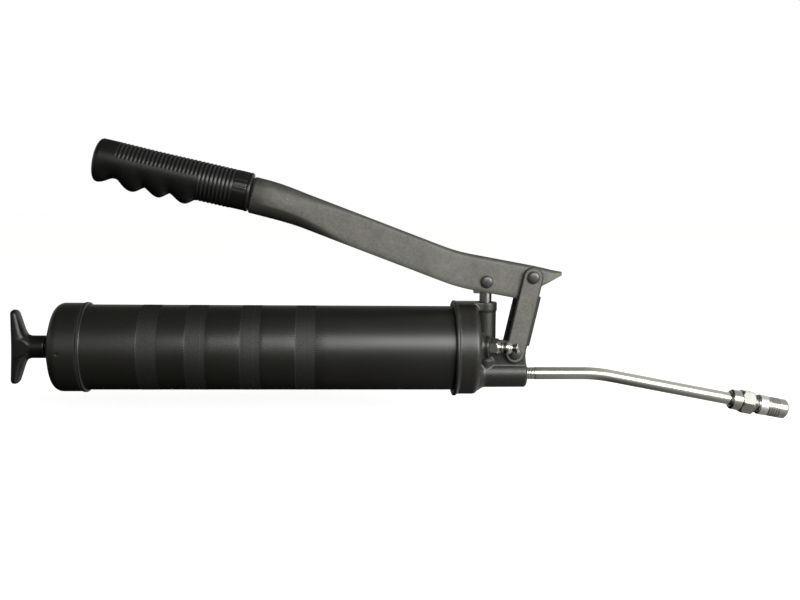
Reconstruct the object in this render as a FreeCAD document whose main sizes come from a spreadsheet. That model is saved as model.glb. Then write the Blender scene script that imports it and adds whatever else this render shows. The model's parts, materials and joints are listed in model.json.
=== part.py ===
# Lever grease gun, 400 g size. Millimetres.
# X runs along the barrel towards the pump head, Z points up to the lever, the origin is on the
# barrel's axis at the middle of its bare length.

import FreeCAD, Part

import math
import os
import re

import Sketcher

FreeCAD.Console.SetStatus("Console", "Msg", False)

SIZES = {
    # barrel and its two caps
    "barrel_radius": 28.5,
    "barrel_wall": 1.2,
    "barrel_rear": -133.0,
    "barrel_front": 136.2,
    "gasket_thick": 2.2,
    "head_bead_radius": 32.5,
    "head_bead_rear": 124.3,
    "head_bead_width": 2.2,
    "head_cap_radius": 31.3,
    "head_cap_front": 142.8,
    "head_cap_corner": 4.5,
    "rear_bead_front": -119.7,
    "rear_bead_width": 2.4,
    "rear_bead_radius": 30.1,
    "rear_cap_radius": 29.6,
    "rear_shoulder": -140.0,
    "rear_cap_end": -147.6,
    "rear_corner": 8.0,
    "rear_cap_wall": 1.7,
    "bush_radius": 7.0,
    # pump casting
    "pump_axis": 147.0,
    "pump_radius": 7.3,
    "collar_radius": 7.9,
    "collar_low": 25.7,
    "collar_top": 31.7,
    "plunger_bore": 4.26,
    "packing_radius": 6.0,
    "packing_low": 24.7,
    "packing_top": 28.7,
    "retainer_top": 31.2,
    "lug_half_width": 7.0,
    "lug_radius": 8.0,
    "lug_top": 4.9,
    "lug_foot": 4.5,
    "lug_shoulder": 5.5,
    "lug_neck": 6.4,
    "root_sink": 1.8,
    "outlet_height": -17.5,
    "outlet_radius": 9.4,
    "outlet_face": 175.3,
    "check_seat": 153.0,
    "check_bore": 3.4,
    "check_ball": 3.0,
    "pipe_start": 163.0,
    "boss_side": -16.0,
    "boss_height": 3.0,
    "boss_radius": 7.6,
    "boss_root": 141.5,
    "boss_length": 7.2,
    "boss_angle": 18.0,
    # linkage
    "pivot_across": 166.4,
    "pivot_up": -2.5,
    "link_top_across": 178.1,
    "link_top_up": 49.0,
    "link_lean": 12.8,
    "link_length": 52.81,
    "link_eye": 6.9,
    "link_inside": 7.45,
    "link_sheet": 2.5,
    "web_reach": 8.4,
    "web_top": 11.6,
    "web_foot": 45.9,
    "rivet_radius": 3.0,
    "rivet_head": 4.2,
    "rivet_head_tall": 2.0,
    "running_gap": 0.06,
    "pin_across": 146.7,
    "pin_up": 45.8,
    "plunger_radius": 4.2,
    "plunger_foot": -5.0,
    "slot_half_long": 5.25,
    "slot_half_tall": 3.8,
    "eye_half_long": 7.8,
    "eye_half_tall": 6.4,
    "eye_half_thick": 3.9,
    "eye_corner": 3.5,
    "stop_lug_length": 4.0,
    "stop_lug_drop": 1.8,
    # lever
    "lever_sheet": 2.0,
    "lever_half_deep": 12.0,
    "lever_half_wide": 9.6,
    "lever_half_slim": 7.25,
    "taper_start": 17.0,
    "taper_end": 10.0,
    "knee_rear_across": 12.0,
    "knee_rear_up": 97.0,
    "knee_front_across": 127.0,
    "knee_front_up": 54.0,
    "neck_across": -7.2,
    "neck_up": 102.21,
    "neck_length": 2.6,
    "lever_edge_round": 2.4,
    "nose_across": 198.9,
    "nose_up": 51.9,
    "nose_knee_across": 187.0,
    "nose_knee_up": 55.2,
    "wall_corner_across": 167.7,
    "wall_corner_up": 34.6,
    "tail_end": -97.0,
    "tail_half_deep": 8.7,
    "tail_half_wide": 7.5,
    # grip, along its own axis from its front face
    "grip_across": -12.4,
    "grip_up": 104.4,
    "grip_slope": 12.34,
    "grip_length": 106.0,
    "grip_radius": 13.2,
    "grip_flare": 14.3,
    "bump_pitch": 17.4,
    "bump_first": -42.7,
    "bump_drop": 8.0,
    "bump_tall": 9.2,
    "bump_long": 8.0,
    "bump_wide": 9.4,
    "pocket_depth": 89.5,
    # follower and its rod
    "rod_radius": 4.0,
    "rod_thread": 3.5,
    "rod_shoulder": 122.0,
    "rod_front": 131.0,
    "handle_rear": -171.6,
    "handle_stem": 7.7,
    "handle_half_tall": 25.0,
    "handle_half_wide": 7.0,
    "handle_deep": 11.5,
    "rod_seat": 11.0,
    "handle_waist": 8.0,
    "handle_neck": 11.5,
    "handle_tip": 5.0,
    "handle_dish": 1.2,
    "handle_round": 2.2,
    "follower_front": -80.0,
    "follower_base": -96.0,
    "follower_radius": 27.1,
    "spring_radius": 20.0,
    "spring_wire": 1.4,
    "spring_rear": -137.5,
    "spring_pitch": 3.83,
    # filler nipple, along its own axis from the boss face
    "nipple_flats": 10.5,
    "nipple_hex": 5.5,
    "nipple_head": 4.65,
    "nipple_ball": 1.9,
    # extension pipe and coupler
    "pipe_radius": 4.25,
    "pipe_bore": 2.2,
    "bend_across": 225.0,
    "bend_radius": 110.0,
    "pipe_drop": 10.7,
    "coupler_across": 318.9,
    "coupler_up": -35.25,
    "coupler_length": 41.0,
    "coupler_flats": 15.0,
    "coupler_radius": 6.9,
    "nose_radius": 6.75,
    "jaw_bore": 3.3,
}

ALONG = {
    "X": FreeCAD.Rotation(FreeCAD.Vector(0, 1, 0), 90),
    "Y": FreeCAD.Rotation(FreeCAD.Vector(1, 0, 0), -90),
    "Z": FreeCAD.Rotation(),
}
ABOUT_Y = FreeCAD.Vector(0, 1, 0)
ABOUT_Z = FreeCAD.Vector(0, 0, 1)

document = FreeCAD.newDocument("grease_gun")
sheet = document.addObject("Spreadsheet::Sheet", "Sizes")
sub_parts = []


def fill_sheet():
    """One row per driving size: its name, and its value under that alias."""
    for row, (alias, value) in enumerate(SIZES.items(), 1):
        sheet.set(f"A{row}", alias)
        sheet.set(f"B{row}", str(value))
        sheet.setAlias(f"B{row}", alias)
    document.recompute()


def bound(text):
    """An expression in the sheet's names, written the way a document object reads it."""
    return re.sub(r"[a-z]\w+(?!\w*\()", r"Sizes.\g<0>", text)


def bind(item, **expressions):
    """Bind properties of an object to the sheet."""
    for name, text in expressions.items():
        item.setExpression(name.replace("__", "."), bound(text))


def new_body(label):
    body = document.addObject("PartDesign::Body", label)
    body.Label = label
    body.AllowCompound = True
    sub_parts.append(body)
    return body


def put(item, across="0", side="0", up="0", axis=None, angle="0"):
    """Place a body or a primitive: its origin, and one turn about an axis."""
    if axis:
        item.Placement = FreeCAD.Placement(FreeCAD.Vector(), FreeCAD.Rotation(axis, 30))
        bind(item, Placement__Rotation__Angle=angle)
    bind(item, Placement__Base__x=across, Placement__Base__y=side, Placement__Base__z=up)


def new_sketch(body, role="XZ_Plane", lift=None):
    """A sketch on one of the body's own origin planes, lifted along the plane's normal."""
    sketch = body.newObject("Sketcher::SketchObject", f"{body.Name}_sketch")
    plane = next(f for f in body.Origin.OriginFeatures if f.Role == role)
    sketch.AttachmentSupport = [(plane, "")]
    sketch.MapMode = "FlatFace"
    if lift:
        bind(sketch, AttachmentOffset__Base__z=lift)
    return sketch


def fix_point(sketch, geometry, end, across, up):
    """Tie one point of a sketch to the sheet, measured from the sketch's origin."""
    spot = sketch.getPoint(geometry, end)
    for kind, text, now in (("DistanceX", across, spot.x), ("DistanceY", up, spot.y)):
        number = sketch.addConstraint(Sketcher.Constraint(kind, -1, 1, geometry, end, now))
        name = f"{kind}{number}"
        sketch.renameConstraint(number, name)
        sketch.setExpression(f"Constraints.{name}", bound(text))


def outline(sketch, corners):
    """A closed outline of straight lines, every corner bound to the sheet."""
    first = sketch.GeometryCount
    count = len(corners)
    rough = []
    for step in range(count):
        turn = 2 * math.pi * step / count
        rough.append(FreeCAD.Vector(40 + 20 * math.cos(turn), 40 + 20 * math.sin(turn), 0))
    for step in range(count):
        sketch.addGeometry(Part.LineSegment(rough[step], rough[(step + 1) % count]))
    for step in range(count):
        following = first + (step + 1) % count
        sketch.addConstraint(Sketcher.Constraint("Coincident", first + step, 2, following, 1))
    for step, (across, up) in enumerate(corners):
        fix_point(sketch, first + step, 1, across, up)


def circle(sketch, radius, across="0", up="0"):
    number = sketch.addGeometry(Part.Circle(FreeCAD.Vector(5, 5, 0), ABOUT_Z, 3))
    size = sketch.addConstraint(Sketcher.Constraint("Radius", number, 3.0))
    sketch.renameConstraint(size, f"Radius{size}")
    sketch.setExpression(f"Constraints.Radius{size}", bound(radius))
    fix_point(sketch, number, 3, across, up)


def hexagon(sketch, flats, first_angle):
    """A hexagon by its width across flats; first_angle turns its first corner from the X axis."""
    corners = []
    for step in range(6):
        angle = first_angle + 60 * step
        corner = f"({flats}) / 2 / cos(30)"
        corners.append((f"{corner} * cos({angle})", f"{corner} * sin({angle})"))
    outline(sketch, corners)


def revolve(body, corners, axis="H_Axis", kind="Revolution"):
    """Turn an outline drawn in the XZ plane about one of the sketch's axes."""
    sketch = new_sketch(body)
    outline(sketch, corners)
    feature = body.newObject(f"PartDesign::{kind}", f"{body.Name}_{kind}")
    feature.Profile = sketch
    feature.ReferenceAxis = (sketch, [axis])
    feature.Angle = 360
    return feature


def pad(body, sketch, length, both_ways=True, kind="Pad"):
    feature = body.newObject(f"PartDesign::{kind}", f"{body.Name}_{kind}")
    feature.Profile = sketch
    feature.Midplane = both_ways
    bind(feature, Length=length)
    return feature


def round_bar(body, radius, length, along, across="0", side="0", up="0", cut=False):
    """A cylinder added to the body, or a round hole cut from it, starting at a point."""
    kind = "Subtractive" if cut else "Additive"
    bar = body.newObject(f"PartDesign::{kind}Cylinder", f"{body.Name}_bar")
    bar.Placement = FreeCAD.Placement(FreeCAD.Vector(), ALONG[along])
    bind(bar, Radius=radius, Height=length)
    put(bar, across, side, up)
    return bar


def block(body, low, high, cut=False):
    """A box added or cut, from its low corner to its high corner."""
    kind = "Subtractive" if cut else "Additive"
    box = body.newObject(f"PartDesign::{kind}Box", f"{body.Name}_box")
    spans = [f"({b}) - ({a})" for a, b in zip(low, high)]
    bind(box, Length=spans[0], Width=spans[1], Height=spans[2])
    put(box, *low)
    return box


def dress(body, kind, size, chosen):
    """Fillet or Chamfer the edges of the body's last feature that the test picks."""
    document.recompute()
    base = body.Tip
    names = [f"Edge{n}" for n, edge in enumerate(base.Shape.Edges, 1) if chosen(edge)]
    feature = body.newObject(f"PartDesign::{kind}", f"{body.Name}_{kind}")
    feature.Base = (base, names)
    bind(feature, **{"Radius" if kind == "Fillet" else "Size": size})
    return feature


def is_rim(edge, radius, place, axis="x"):
    """True for a full circle of this radius whose centre is at this place along an axis."""
    if not hasattr(edge.Curve, "Radius") or not edge.isClosed():
        return False
    centre = getattr(edge.Curve.Center, axis)
    return abs(edge.Curve.Radius - radius) < 1e-3 and abs(centre - place) < 1e-3


def turned(label, corners, axis="H_Axis"):
    """A sub-part that is one turned piece."""
    body = new_body(label)
    revolve(body, corners, axis)
    return body


def ring(label, rear, front, inside, outside, axis="H_Axis"):
    """A plain ring between two planes along the axis it is turned about."""
    corners = [(rear, inside), (rear, outside), (front, outside), (front, inside)]
    if axis == "V_Axis":
        corners = [(up, across) for across, up in corners]
    return turned(label, corners, axis)


def coil(label, radius, wire, start, pitch, turns):
    """A helical spring about the X axis; start is the middle of the wire at its first turn."""
    body = new_body(label)
    sketch = new_sketch(body)
    circle(sketch, wire, start, radius)
    document.recompute()
    spring = body.newObject("PartDesign::AdditiveHelix", f"{label}_helix")
    spring.Profile = sketch
    spring.ReferenceAxis = (sketch, ["H_Axis"])
    spring.Mode = "pitch-turns-angle"
    spring.Angle = 0
    spring.Turns = turns
    bind(spring, Pitch=pitch)
    return body


# --- barrel group ---------------------------------------------------------------------------


def make_barrel():
    inside = "barrel_radius - barrel_wall"
    ring("barrel", "barrel_rear", "barrel_front", inside, "barrel_radius")
    ring("head_gasket", "barrel_front", "barrel_front + gasket_thick", "24.5", "barrel_radius - 0.2")


def make_rear_cap():
    """Beaded skirt over the barrel's end, rounded into a shallow cone with the rod's hole."""
    bead_rear = "rear_bead_front - rear_bead_width"
    inner_face = "rear_shoulder + rear_cap_wall"
    inner_radius = "rear_cap_radius - rear_cap_wall - 0.3"
    body = turned("rear_cap", [
        ("rear_bead_front", "barrel_radius"),
        ("rear_bead_front", "rear_bead_radius"),
        (bead_rear, "rear_bead_radius"),
        (bead_rear, "rear_cap_radius"),
        ("rear_shoulder", "rear_cap_radius"),
        ("rear_cap_end", "bush_radius"),
        ("rear_cap_end + rear_cap_wall", "bush_radius"),
        (inner_face, inner_radius),
        ("barrel_rear", inner_radius),
        ("barrel_rear", "barrel_radius"),
    ])
    shoulder = SIZES["rear_shoulder"]
    radius = SIZES["rear_cap_radius"]
    dress(body, "Fillet", "rear_corner", lambda edge: is_rim(edge, radius, shoulder))


def make_rod_guide():
    """Bush in the rear cap's hole, held by a flange inside the cap."""
    bore = "rod_radius + 0.08"
    turned("rod_guide_bush", [
        ("rear_cap_end", bore),
        ("rear_cap_end", "bush_radius"),
        ("rear_cap_end + 3.2", "bush_radius"),
        ("rear_cap_end + 3.2", "bush_radius + 3"),
        ("rear_cap_end + 5", "bush_radius + 3"),
        ("rear_cap_end + 5", bore),
    ])


def make_follower():
    """Rubber cup between two steel discs, pushed along the barrel by the follower spring."""
    bore = "rod_radius + 0.08"
    turned("follower_cup", [
        ("follower_base", bore),
        ("follower_base", "follower_radius - 0.6"),
        ("follower_front", "follower_radius"),
        ("follower_front", "follower_radius - 1.8"),
        ("follower_base + 2.5", "follower_radius - 2.6"),
        ("follower_base + 2.5", bore),
    ])
    ring("follower_front_disc", "follower_base + 2.5", "follower_base + 4", bore, "20")
    ring("follower_back_disc", "follower_base - 1.5", "follower_base", bore, "24.5")
    coil("follower_spring", "spring_radius", "spring_wire", "spring_rear", "spring_pitch", 10)


def make_rod():
    """Follower rod, with the T-handle on its rear end and a stop washer and nut on its front end."""
    rod = new_body("follower_rod")
    round_bar(rod, "rod_radius", "rod_shoulder - handle_rear - 11", "X", "handle_rear + rod_seat")
    round_bar(rod, "rod_thread", "rod_front - rod_shoulder", "X", "rod_shoulder")

    front = "rod_shoulder + 0.05"
    ring("rod_stop_washer", front, f"{front} + 1.9", "rod_thread + running_gap", "9")

    nut = new_body("rod_nut")
    sketch = new_sketch(nut, "YZ_Plane", "rod_shoulder + 2.1")
    hexagon(sketch, "11", 0)
    circle(sketch, "rod_thread")
    pad(nut, sketch, "5", both_ways=False)


def make_handle():
    """Moulded T-handle: a stem that meets the rear cap and a waisted cross bar."""
    handle = new_body("t_handle")
    sketch = new_sketch(handle)
    outline(sketch, [
        ("handle_rear + handle_deep", "handle_stem - 1"),
        ("handle_rear + handle_waist", "handle_neck"),
        ("handle_rear + handle_tip", "handle_half_tall"),
        ("handle_rear", "handle_half_tall"),
        ("handle_rear + handle_dish", "0"),
        ("handle_rear", "0 - handle_half_tall"),
        ("handle_rear + handle_tip", "0 - handle_half_tall"),
        ("handle_rear + handle_waist", "0 - handle_neck"),
        ("handle_rear + handle_deep", "1 - handle_stem"),
    ])
    pad(handle, sketch, "2 * handle_half_wide")
    dress(handle, "Fillet", "handle_round", lambda edge: edge.Length > 9 and abs(edge.CenterOfMass.z) > 20)
    stem_rear = "handle_rear + 4"
    round_bar(handle, "handle_stem", f"rear_cap_end - 0.4 - ({stem_rear})", "X", stem_rear)
    round_bar(handle, "rod_radius", "40", "X", "handle_rear + rod_seat", cut=True)


# --- pump head ------------------------------------------------------------------------------


def make_head():
    """Casting: cap over the barrel, pump cylinder, bridge, pivot lug, outlet and filler boss."""
    head = new_body("pump_head")
    seat = "barrel_front + gasket_thick"
    bead_front = "head_bead_rear + head_bead_width"
    revolve(head, [
        ("head_bead_rear", "barrel_radius"),
        ("head_bead_rear", "head_bead_radius"),
        (bead_front, "head_bead_radius"),
        (bead_front, "head_cap_radius"),
        ("head_cap_front", "head_cap_radius"),
        ("head_cap_front", "0"),
        (seat, "0"),
        (seat, "barrel_radius"),
    ])
    front = SIZES["head_cap_front"]
    radius = SIZES["head_cap_radius"]
    dress(head, "Fillet", "head_cap_corner", lambda edge: is_rim(edge, radius, front))

    root = "head_cap_front - root_sink"
    wide = "collar_radius - 0.2"
    block(head, ("head_bead_rear", f"0 - ({wide})", "barrel_radius + 1"), ("pump_axis", wide, "collar_top"))
    block(head, (root, f"0 - ({wide})", "collar_low"), ("pump_axis", wide, "collar_top"))
    round_bar(head, "pump_radius", "collar_low - outlet_height", "Z", "pump_axis", "0", "outlet_height")
    round_bar(head, "collar_radius", "collar_top - collar_low", "Z", "pump_axis", "0", "collar_low")

    lug = new_sketch(head)
    outline(lug, [
        (root, "outlet_height - lug_foot"),
        (root, "lug_top"),
        ("pivot_across - lug_neck", "lug_top"),
        ("pivot_across", "pivot_up + lug_radius"),
        ("pivot_across + lug_radius * sin(45)", "pivot_up + lug_radius * cos(45)"),
        ("pivot_across + lug_radius", "pivot_up"),
        ("outlet_face", "outlet_height + lug_shoulder"),
        ("outlet_face", "outlet_height - lug_foot"),
    ])
    pad(head, lug, "2 * lug_half_width")
    round_bar(head, "outlet_radius", f"outlet_face - ({root})", "X", root, "0", "outlet_height")
    boss(head, "boss_radius", "0", "boss_length")

    drill_head(head, seat)


def boss(head, radius, start, length, cut=False):
    """A round feature about the filler boss's axis, which leans out to the side."""
    kind = "Subtractive" if cut else "Additive"
    bar = head.newObject(f"PartDesign::{kind}Cylinder", "filler_boss")
    lean = FreeCAD.Rotation(ABOUT_Z, -SIZES["boss_angle"])
    bar.Placement = FreeCAD.Placement(FreeCAD.Vector(), lean * ALONG["X"])
    bind(bar, Radius=radius, Height=length)
    across = f"boss_root + ({start}) * cos(boss_angle)"
    side = f"boss_side - ({start}) * sin(boss_angle)"
    put(bar, across, side, "boss_height")


def drill_head(head, seat):
    """Plunger bore with its packing seat, inlet, check valve, pipe thread, filler and pivot holes."""
    round_bar(head, "plunger_bore", "60", "Z", "pump_axis", "0", "outlet_height", cut=True)
    round_bar(head, "packing_radius", "20", "Z", "pump_axis", "0", "packing_low", cut=True)
    round_bar(head, "2.5", f"pump_axis - ({seat})", "X", seat, "0", "7", cut=True)
    round_bar(head, "2.2", "10", "X", "pump_axis", "0", "outlet_height", cut=True)
    round_bar(head, "check_bore", "20", "X", "check_seat", "0", "outlet_height", cut=True)
    round_bar(head, "pipe_radius", "20", "X", "pipe_start", "0", "outlet_height", cut=True)
    boss(head, "3.2", "boss_length - 5.2", "10", cut=True)
    boss(head, "1.8", "0 - 4", "12", cut=True)
    hole = "rivet_radius + running_gap"
    round_bar(head, hole, "40", "Y", "pivot_across", "0 - 20", "pivot_up", cut=True)


def make_packing():
    """Packing and its retainer ring, in the collar round the plunger."""
    for label, low, top, inside in (
        ("plunger_packing", "packing_low", "packing_top", "plunger_radius + running_gap"),
        ("packing_retainer", "packing_top", "retainer_top", "plunger_radius + 0.1"),
    ):
        put(ring(label, low, top, inside, "packing_radius", "V_Axis"), across="pump_axis")


def make_outlet_check():
    """Ball on the outlet seat, with its spring held by the end of the pipe."""
    ball = document.addObject("Part::Sphere", "outlet_ball")
    ball.Label = "outlet_ball"
    bind(ball, Radius="check_ball")
    put(ball, "check_seat + sqrt(check_ball ^ 2 - 2.2 ^ 2) + 0.08", "0", "outlet_height")
    sub_parts.append(ball)
    spring = coil("outlet_spring", "2.5", "0.3", "0.35", "1.0", 4)
    put(spring, "check_seat + 5.25", "0", "outlet_height")


def make_filler_nipple():
    """Hexagon, neck, round head and end flange on the filler boss's axis, with a sprung ball inside."""
    face = "boss_length"
    nipple = new_body("filler_nipple")
    hexed = new_sketch(nipple, "YZ_Plane")
    hexagon(hexed, "nipple_flats", 90)
    pad(nipple, hexed, "nipple_hex", both_ways=False)
    revolve(nipple, [
        ("0 - 5", "0"),
        ("0 - 5", "3.2"),
        ("0", "3.2"),
        ("nipple_hex", "3.3"),
        ("nipple_hex + 2.2", "3.3"),
        ("nipple_hex + 4.2", "nipple_head"),
        ("nipple_hex + 7", "nipple_head"),
        ("nipple_hex + 9.4", "2.6"),
        ("nipple_hex + 11.2", "2.6"),
        ("nipple_hex + 11.6", "3.5"),
        ("nipple_hex + 12.8", "3.5"),
        ("nipple_hex + 13.1", "2.6"),
        ("nipple_hex + 13.1", "0"),
    ])
    round_bar(nipple, "1.3", "40", "X", "0 - 10", cut=True)
    round_bar(nipple, "2.2", "10.5", "X", "4", cut=True)
    ball = document.addObject("Part::Sphere", "nipple_ball")
    ball.Label = "nipple_ball"
    bind(ball, Radius="nipple_ball")
    sub_parts.append(ball)
    spring = coil("nipple_spring", "1.7", "0.25", "4.4", "1.5", 4)
    seat = "14.5 - sqrt(nipple_ball ^ 2 - 1.3 ^ 2) - 0.08"
    for item, along in ((nipple, face), (spring, face), (ball, f"{face} + {seat}")):
        put(
            item,
            f"boss_root + ({along}) * cos(boss_angle)",
            f"boss_side - ({along}) * sin(boss_angle)",
            "boss_height",
            ABOUT_Z,
            "0 - boss_angle",
        )


# --- plunger, link and rivets ----------------------------------------------------------------


def make_plunger():
    """Round plunger with a flat slotted eye that the lever's pin lifts."""
    plunger = new_body("plunger")
    round_bar(plunger, "plunger_radius", "pin_up - plunger_foot - 5", "Z", "pump_axis", "0", "plunger_foot")
    half = ("eye_half_long", "eye_half_thick", "eye_half_tall")
    block(
        plunger,
        (f"pin_across - {half[0]}", f"0 - {half[1]}", f"pin_up - {half[2]}"),
        (f"pin_across + {half[0]}", half[1], f"pin_up + {half[2]}"),
    )
    thick = 2 * SIZES["eye_half_thick"]
    dress(plunger, "Fillet", "eye_corner", lambda edge: abs(edge.Length - thick) < 1e-3)
    block(
        plunger,
        (f"pin_across - {half[0]}", f"0 - {half[1]}", f"pin_up - {half[2]} - stop_lug_drop"),
        (f"pin_across - {half[0]} + stop_lug_length", half[1], "pin_up"),
    )
    block(
        plunger,
        ("pin_across - slot_half_long", "0 - 10", "pin_up - slot_half_tall"),
        ("pin_across + slot_half_long", "10", "pin_up + slot_half_tall"),
        cut=True,
    )


def make_rivet(label, half_length, across, up):
    """Shank along Y with a domed head at each end."""
    rivet = turned(label, [
        (f"0 - ({half_length}) - rivet_head_tall", "0"),
        (f"0 - ({half_length}) - rivet_head_tall", "rivet_head"),
        (f"0 - ({half_length})", "rivet_head"),
        (f"0 - ({half_length})", "rivet_radius"),
        (half_length, "rivet_radius"),
        (half_length, "rivet_head"),
        (f"{half_length} + rivet_head_tall", "rivet_head"),
        (f"{half_length} + rivet_head_tall", "0"),
    ])
    document.recompute()
    end = rivet.Shape.BoundBox.XMax
    head = SIZES["rivet_head"]
    dress(rivet, "Fillet", "rivet_head_tall - 0.15", lambda e: is_rim(e, head, end) or is_rim(e, head, -end))
    put(rivet, across, "0", up, ABOUT_Z, "90")


def make_link():
    """Folded strap: two eyed plates outside the lever and the lug, joined by a web in front."""
    link = new_body("link")
    outside = "link_inside + link_sheet"
    foot = "0 - link_length"
    for up in ("0", foot):
        round_bar(link, "link_eye", f"2 * ({outside})", "Y", "0", f"0 - ({outside})", up)
    block(link, ("0 - link_eye", f"0 - ({outside})", foot), ("link_eye", outside, "0"))
    inner = "web_reach - link_sheet"
    block(link, (inner, f"0 - ({outside})", "0 - web_foot"), ("web_reach", outside, "0 - web_top"))
    block(link, ("0 - 20", "0 - link_inside", "0 - 80"), (inner, "link_inside", "20"), cut=True)
    block(link, (inner, "0 - link_inside", "0 - web_top"), ("20", "link_inside", "20"), cut=True)
    block(link, (inner, "0 - link_inside", "0 - 80"), ("20", "link_inside", "0 - web_foot"), cut=True)
    for up in ("0", foot):
        round_bar(link, "rivet_radius", "40", "Y", "0", "0 - 20", up, cut=True)
    put(link, "link_top_across", "0", "link_top_up", ABOUT_Y, "link_lean")

    make_rivet("lower_pivot_rivet", outside, "pivot_across", "pivot_up")
    make_rivet("upper_pivot_rivet", outside, "link_top_across", "link_top_up")
    make_rivet("plunger_pin", "lever_half_slim", "pin_across", "pin_up")


# --- lever and grip --------------------------------------------------------------------------


def axis_up(across):
    """Height of the grip's axis above a place along X."""
    return f"grip_up - (({across}) - grip_across) * tan(grip_slope)"


def make_lever():
    """Pressed channel, open below: a slim tail in the grip, a deep arm and a pointed nose."""
    lever = new_body("lever")
    step = "neck_across - neck_length"
    side = new_sketch(lever)
    outline(side, [
        ("tail_end", f"{axis_up('tail_end')} + tail_half_deep"),
        (step, f"{axis_up(step)} + tail_half_deep"),
        ("neck_across", "neck_up + lever_half_deep"),
        ("knee_rear_across", "knee_rear_up + lever_half_deep"),
        ("knee_front_across", "knee_front_up + lever_half_deep"),
        ("nose_knee_across", "nose_knee_up"),
        ("nose_across", "nose_up"),
        ("nose_across", "nose_up - 1.5"),
        ("wall_corner_across", "wall_corner_up"),
        ("knee_front_across", "knee_front_up - lever_half_deep"),
        ("knee_rear_across", "knee_rear_up - lever_half_deep"),
        ("neck_across", "neck_up - lever_half_deep"),
        (step, f"{axis_up(step)} - tail_half_deep"),
        ("tail_end", f"{axis_up('tail_end')} - tail_half_deep"),
    ])
    pad(lever, side, "2 * lever_half_wide")

    plan = new_sketch(lever, "XY_Plane")
    for sign in ("", "0 - "):
        outline(plan, [
            ("tail_end - 5", f"{sign}tail_half_wide"),
            (step, f"{sign}tail_half_wide"),
            ("neck_across", f"{sign}lever_half_wide"),
            ("neck_across", f"{sign}20"),
            ("tail_end - 5", f"{sign}20"),
        ])
        outline(plan, [
            ("knee_front_across - taper_start", f"{sign}lever_half_wide"),
            ("knee_front_across + taper_end", f"{sign}lever_half_slim"),
            ("nose_knee_across + 3", f"{sign}lever_half_slim"),
            ("nose_across + 1", f"{sign}4.5"),
            ("nose_across + 1", f"{sign}20"),
            ("knee_front_across - taper_start", f"{sign}20"),
        ])
    pad(lever, plan, "400", kind="Pocket")

    dress(lever, "Fillet", "lever_edge_round", is_top_bend)
    hollow_lever(lever, step)
    hole = "rivet_radius + running_gap"
    round_bar(lever, "rivet_radius", "40", "Y", "pin_across", "0 - 20", "pin_up", cut=True)
    round_bar(lever, hole, "40", "Y", "link_top_across", "0 - 20", "link_top_up", cut=True)


def is_top_bend(edge):
    """True for a long edge on top of the arm, between the neck and where the arm narrows."""
    middle = edge.CenterOfMass
    first, last = edge.Vertexes[0], edge.Vertexes[-1]
    lengthwise = abs(first.X - last.X) > 2 and abs(middle.y) > 6
    on_arm = SIZES["neck_across"] < middle.x < SIZES["knee_front_across"] - SIZES["taper_start"]
    fall = SIZES["knee_front_up"] - SIZES["knee_rear_up"]
    run = SIZES["knee_front_across"] - SIZES["knee_rear_across"]
    centre_line = SIZES["knee_rear_up"] + (middle.x - SIZES["knee_rear_across"]) * fall / run
    return lengthwise and on_arm and middle.z > centre_line + SIZES["lever_half_deep"] / 2


def hollow_lever(lever, step):
    """Cut the channel in three widths, leaving the sheet's thickness on top and at both sides."""
    below = "0"
    tail = [
        ("tail_end - 5", f"{axis_up('tail_end - 5')} + tail_half_deep - lever_sheet"),
        (step, f"{axis_up(step)} + tail_half_deep - lever_sheet"),
    ]
    arm = [
        (step, f"{axis_up(step)} + tail_half_deep - lever_sheet"),
        ("knee_rear_across", "knee_rear_up + lever_half_deep - lever_sheet"),
        ("knee_front_across", "knee_front_up + lever_half_deep - lever_sheet"),
    ]
    front = [
        ("knee_front_across", "knee_front_up + lever_half_deep - lever_sheet"),
        ("nose_knee_across", "nose_knee_up - lever_sheet"),
        ("nose_across", "nose_up - 1.5"),
    ]
    for ceiling, half_width in (
        (tail, "tail_half_wide - lever_sheet"),
        (arm, "lever_half_slim - 0.25"),
        (front, "lever_half_slim - lever_sheet"),
    ):
        sketch = new_sketch(lever)
        first = ceiling[0][0]
        last = ceiling[-1][0]
        outline(sketch, ceiling + [(last, below), (first, below)])
        pad(lever, sketch, f"2 * ({half_width})", kind="Pocket")


def make_grip():
    """Moulded sleeve along its own axis: a flared round bar with three finger bumps below."""
    grip = new_body("lever_grip")
    revolve(grip, [
        ("0", "0"),
        ("0", "grip_radius"),
        ("0 - 70", "grip_radius"),
        ("8 - grip_length", "grip_flare"),
        ("2 - grip_length", "grip_flare - 3"),
        ("0 - grip_length", "grip_flare - 7"),
        ("0 - grip_length", "0"),
    ])
    for number in range(3):
        bump = grip.newObject("PartDesign::AdditiveEllipsoid", "finger_bump")
        bind(bump, Radius1="bump_tall", Radius2="bump_long", Radius3="bump_wide")
        put(bump, f"bump_first - {number} * bump_pitch", "0", "0 - bump_drop")
    inside = "lever_half_slim + 0.3"
    tall = "tail_half_deep * cos(grip_slope) + 0.05"
    block(grip, ("0 - pocket_depth", f"0 - ({inside})", f"0 - ({tall})"), ("5", inside, tall), cut=True)
    put(grip, "grip_across", "0", "grip_up", ABOUT_Y, "grip_slope")


# --- extension pipe and coupler ---------------------------------------------------------------


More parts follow.
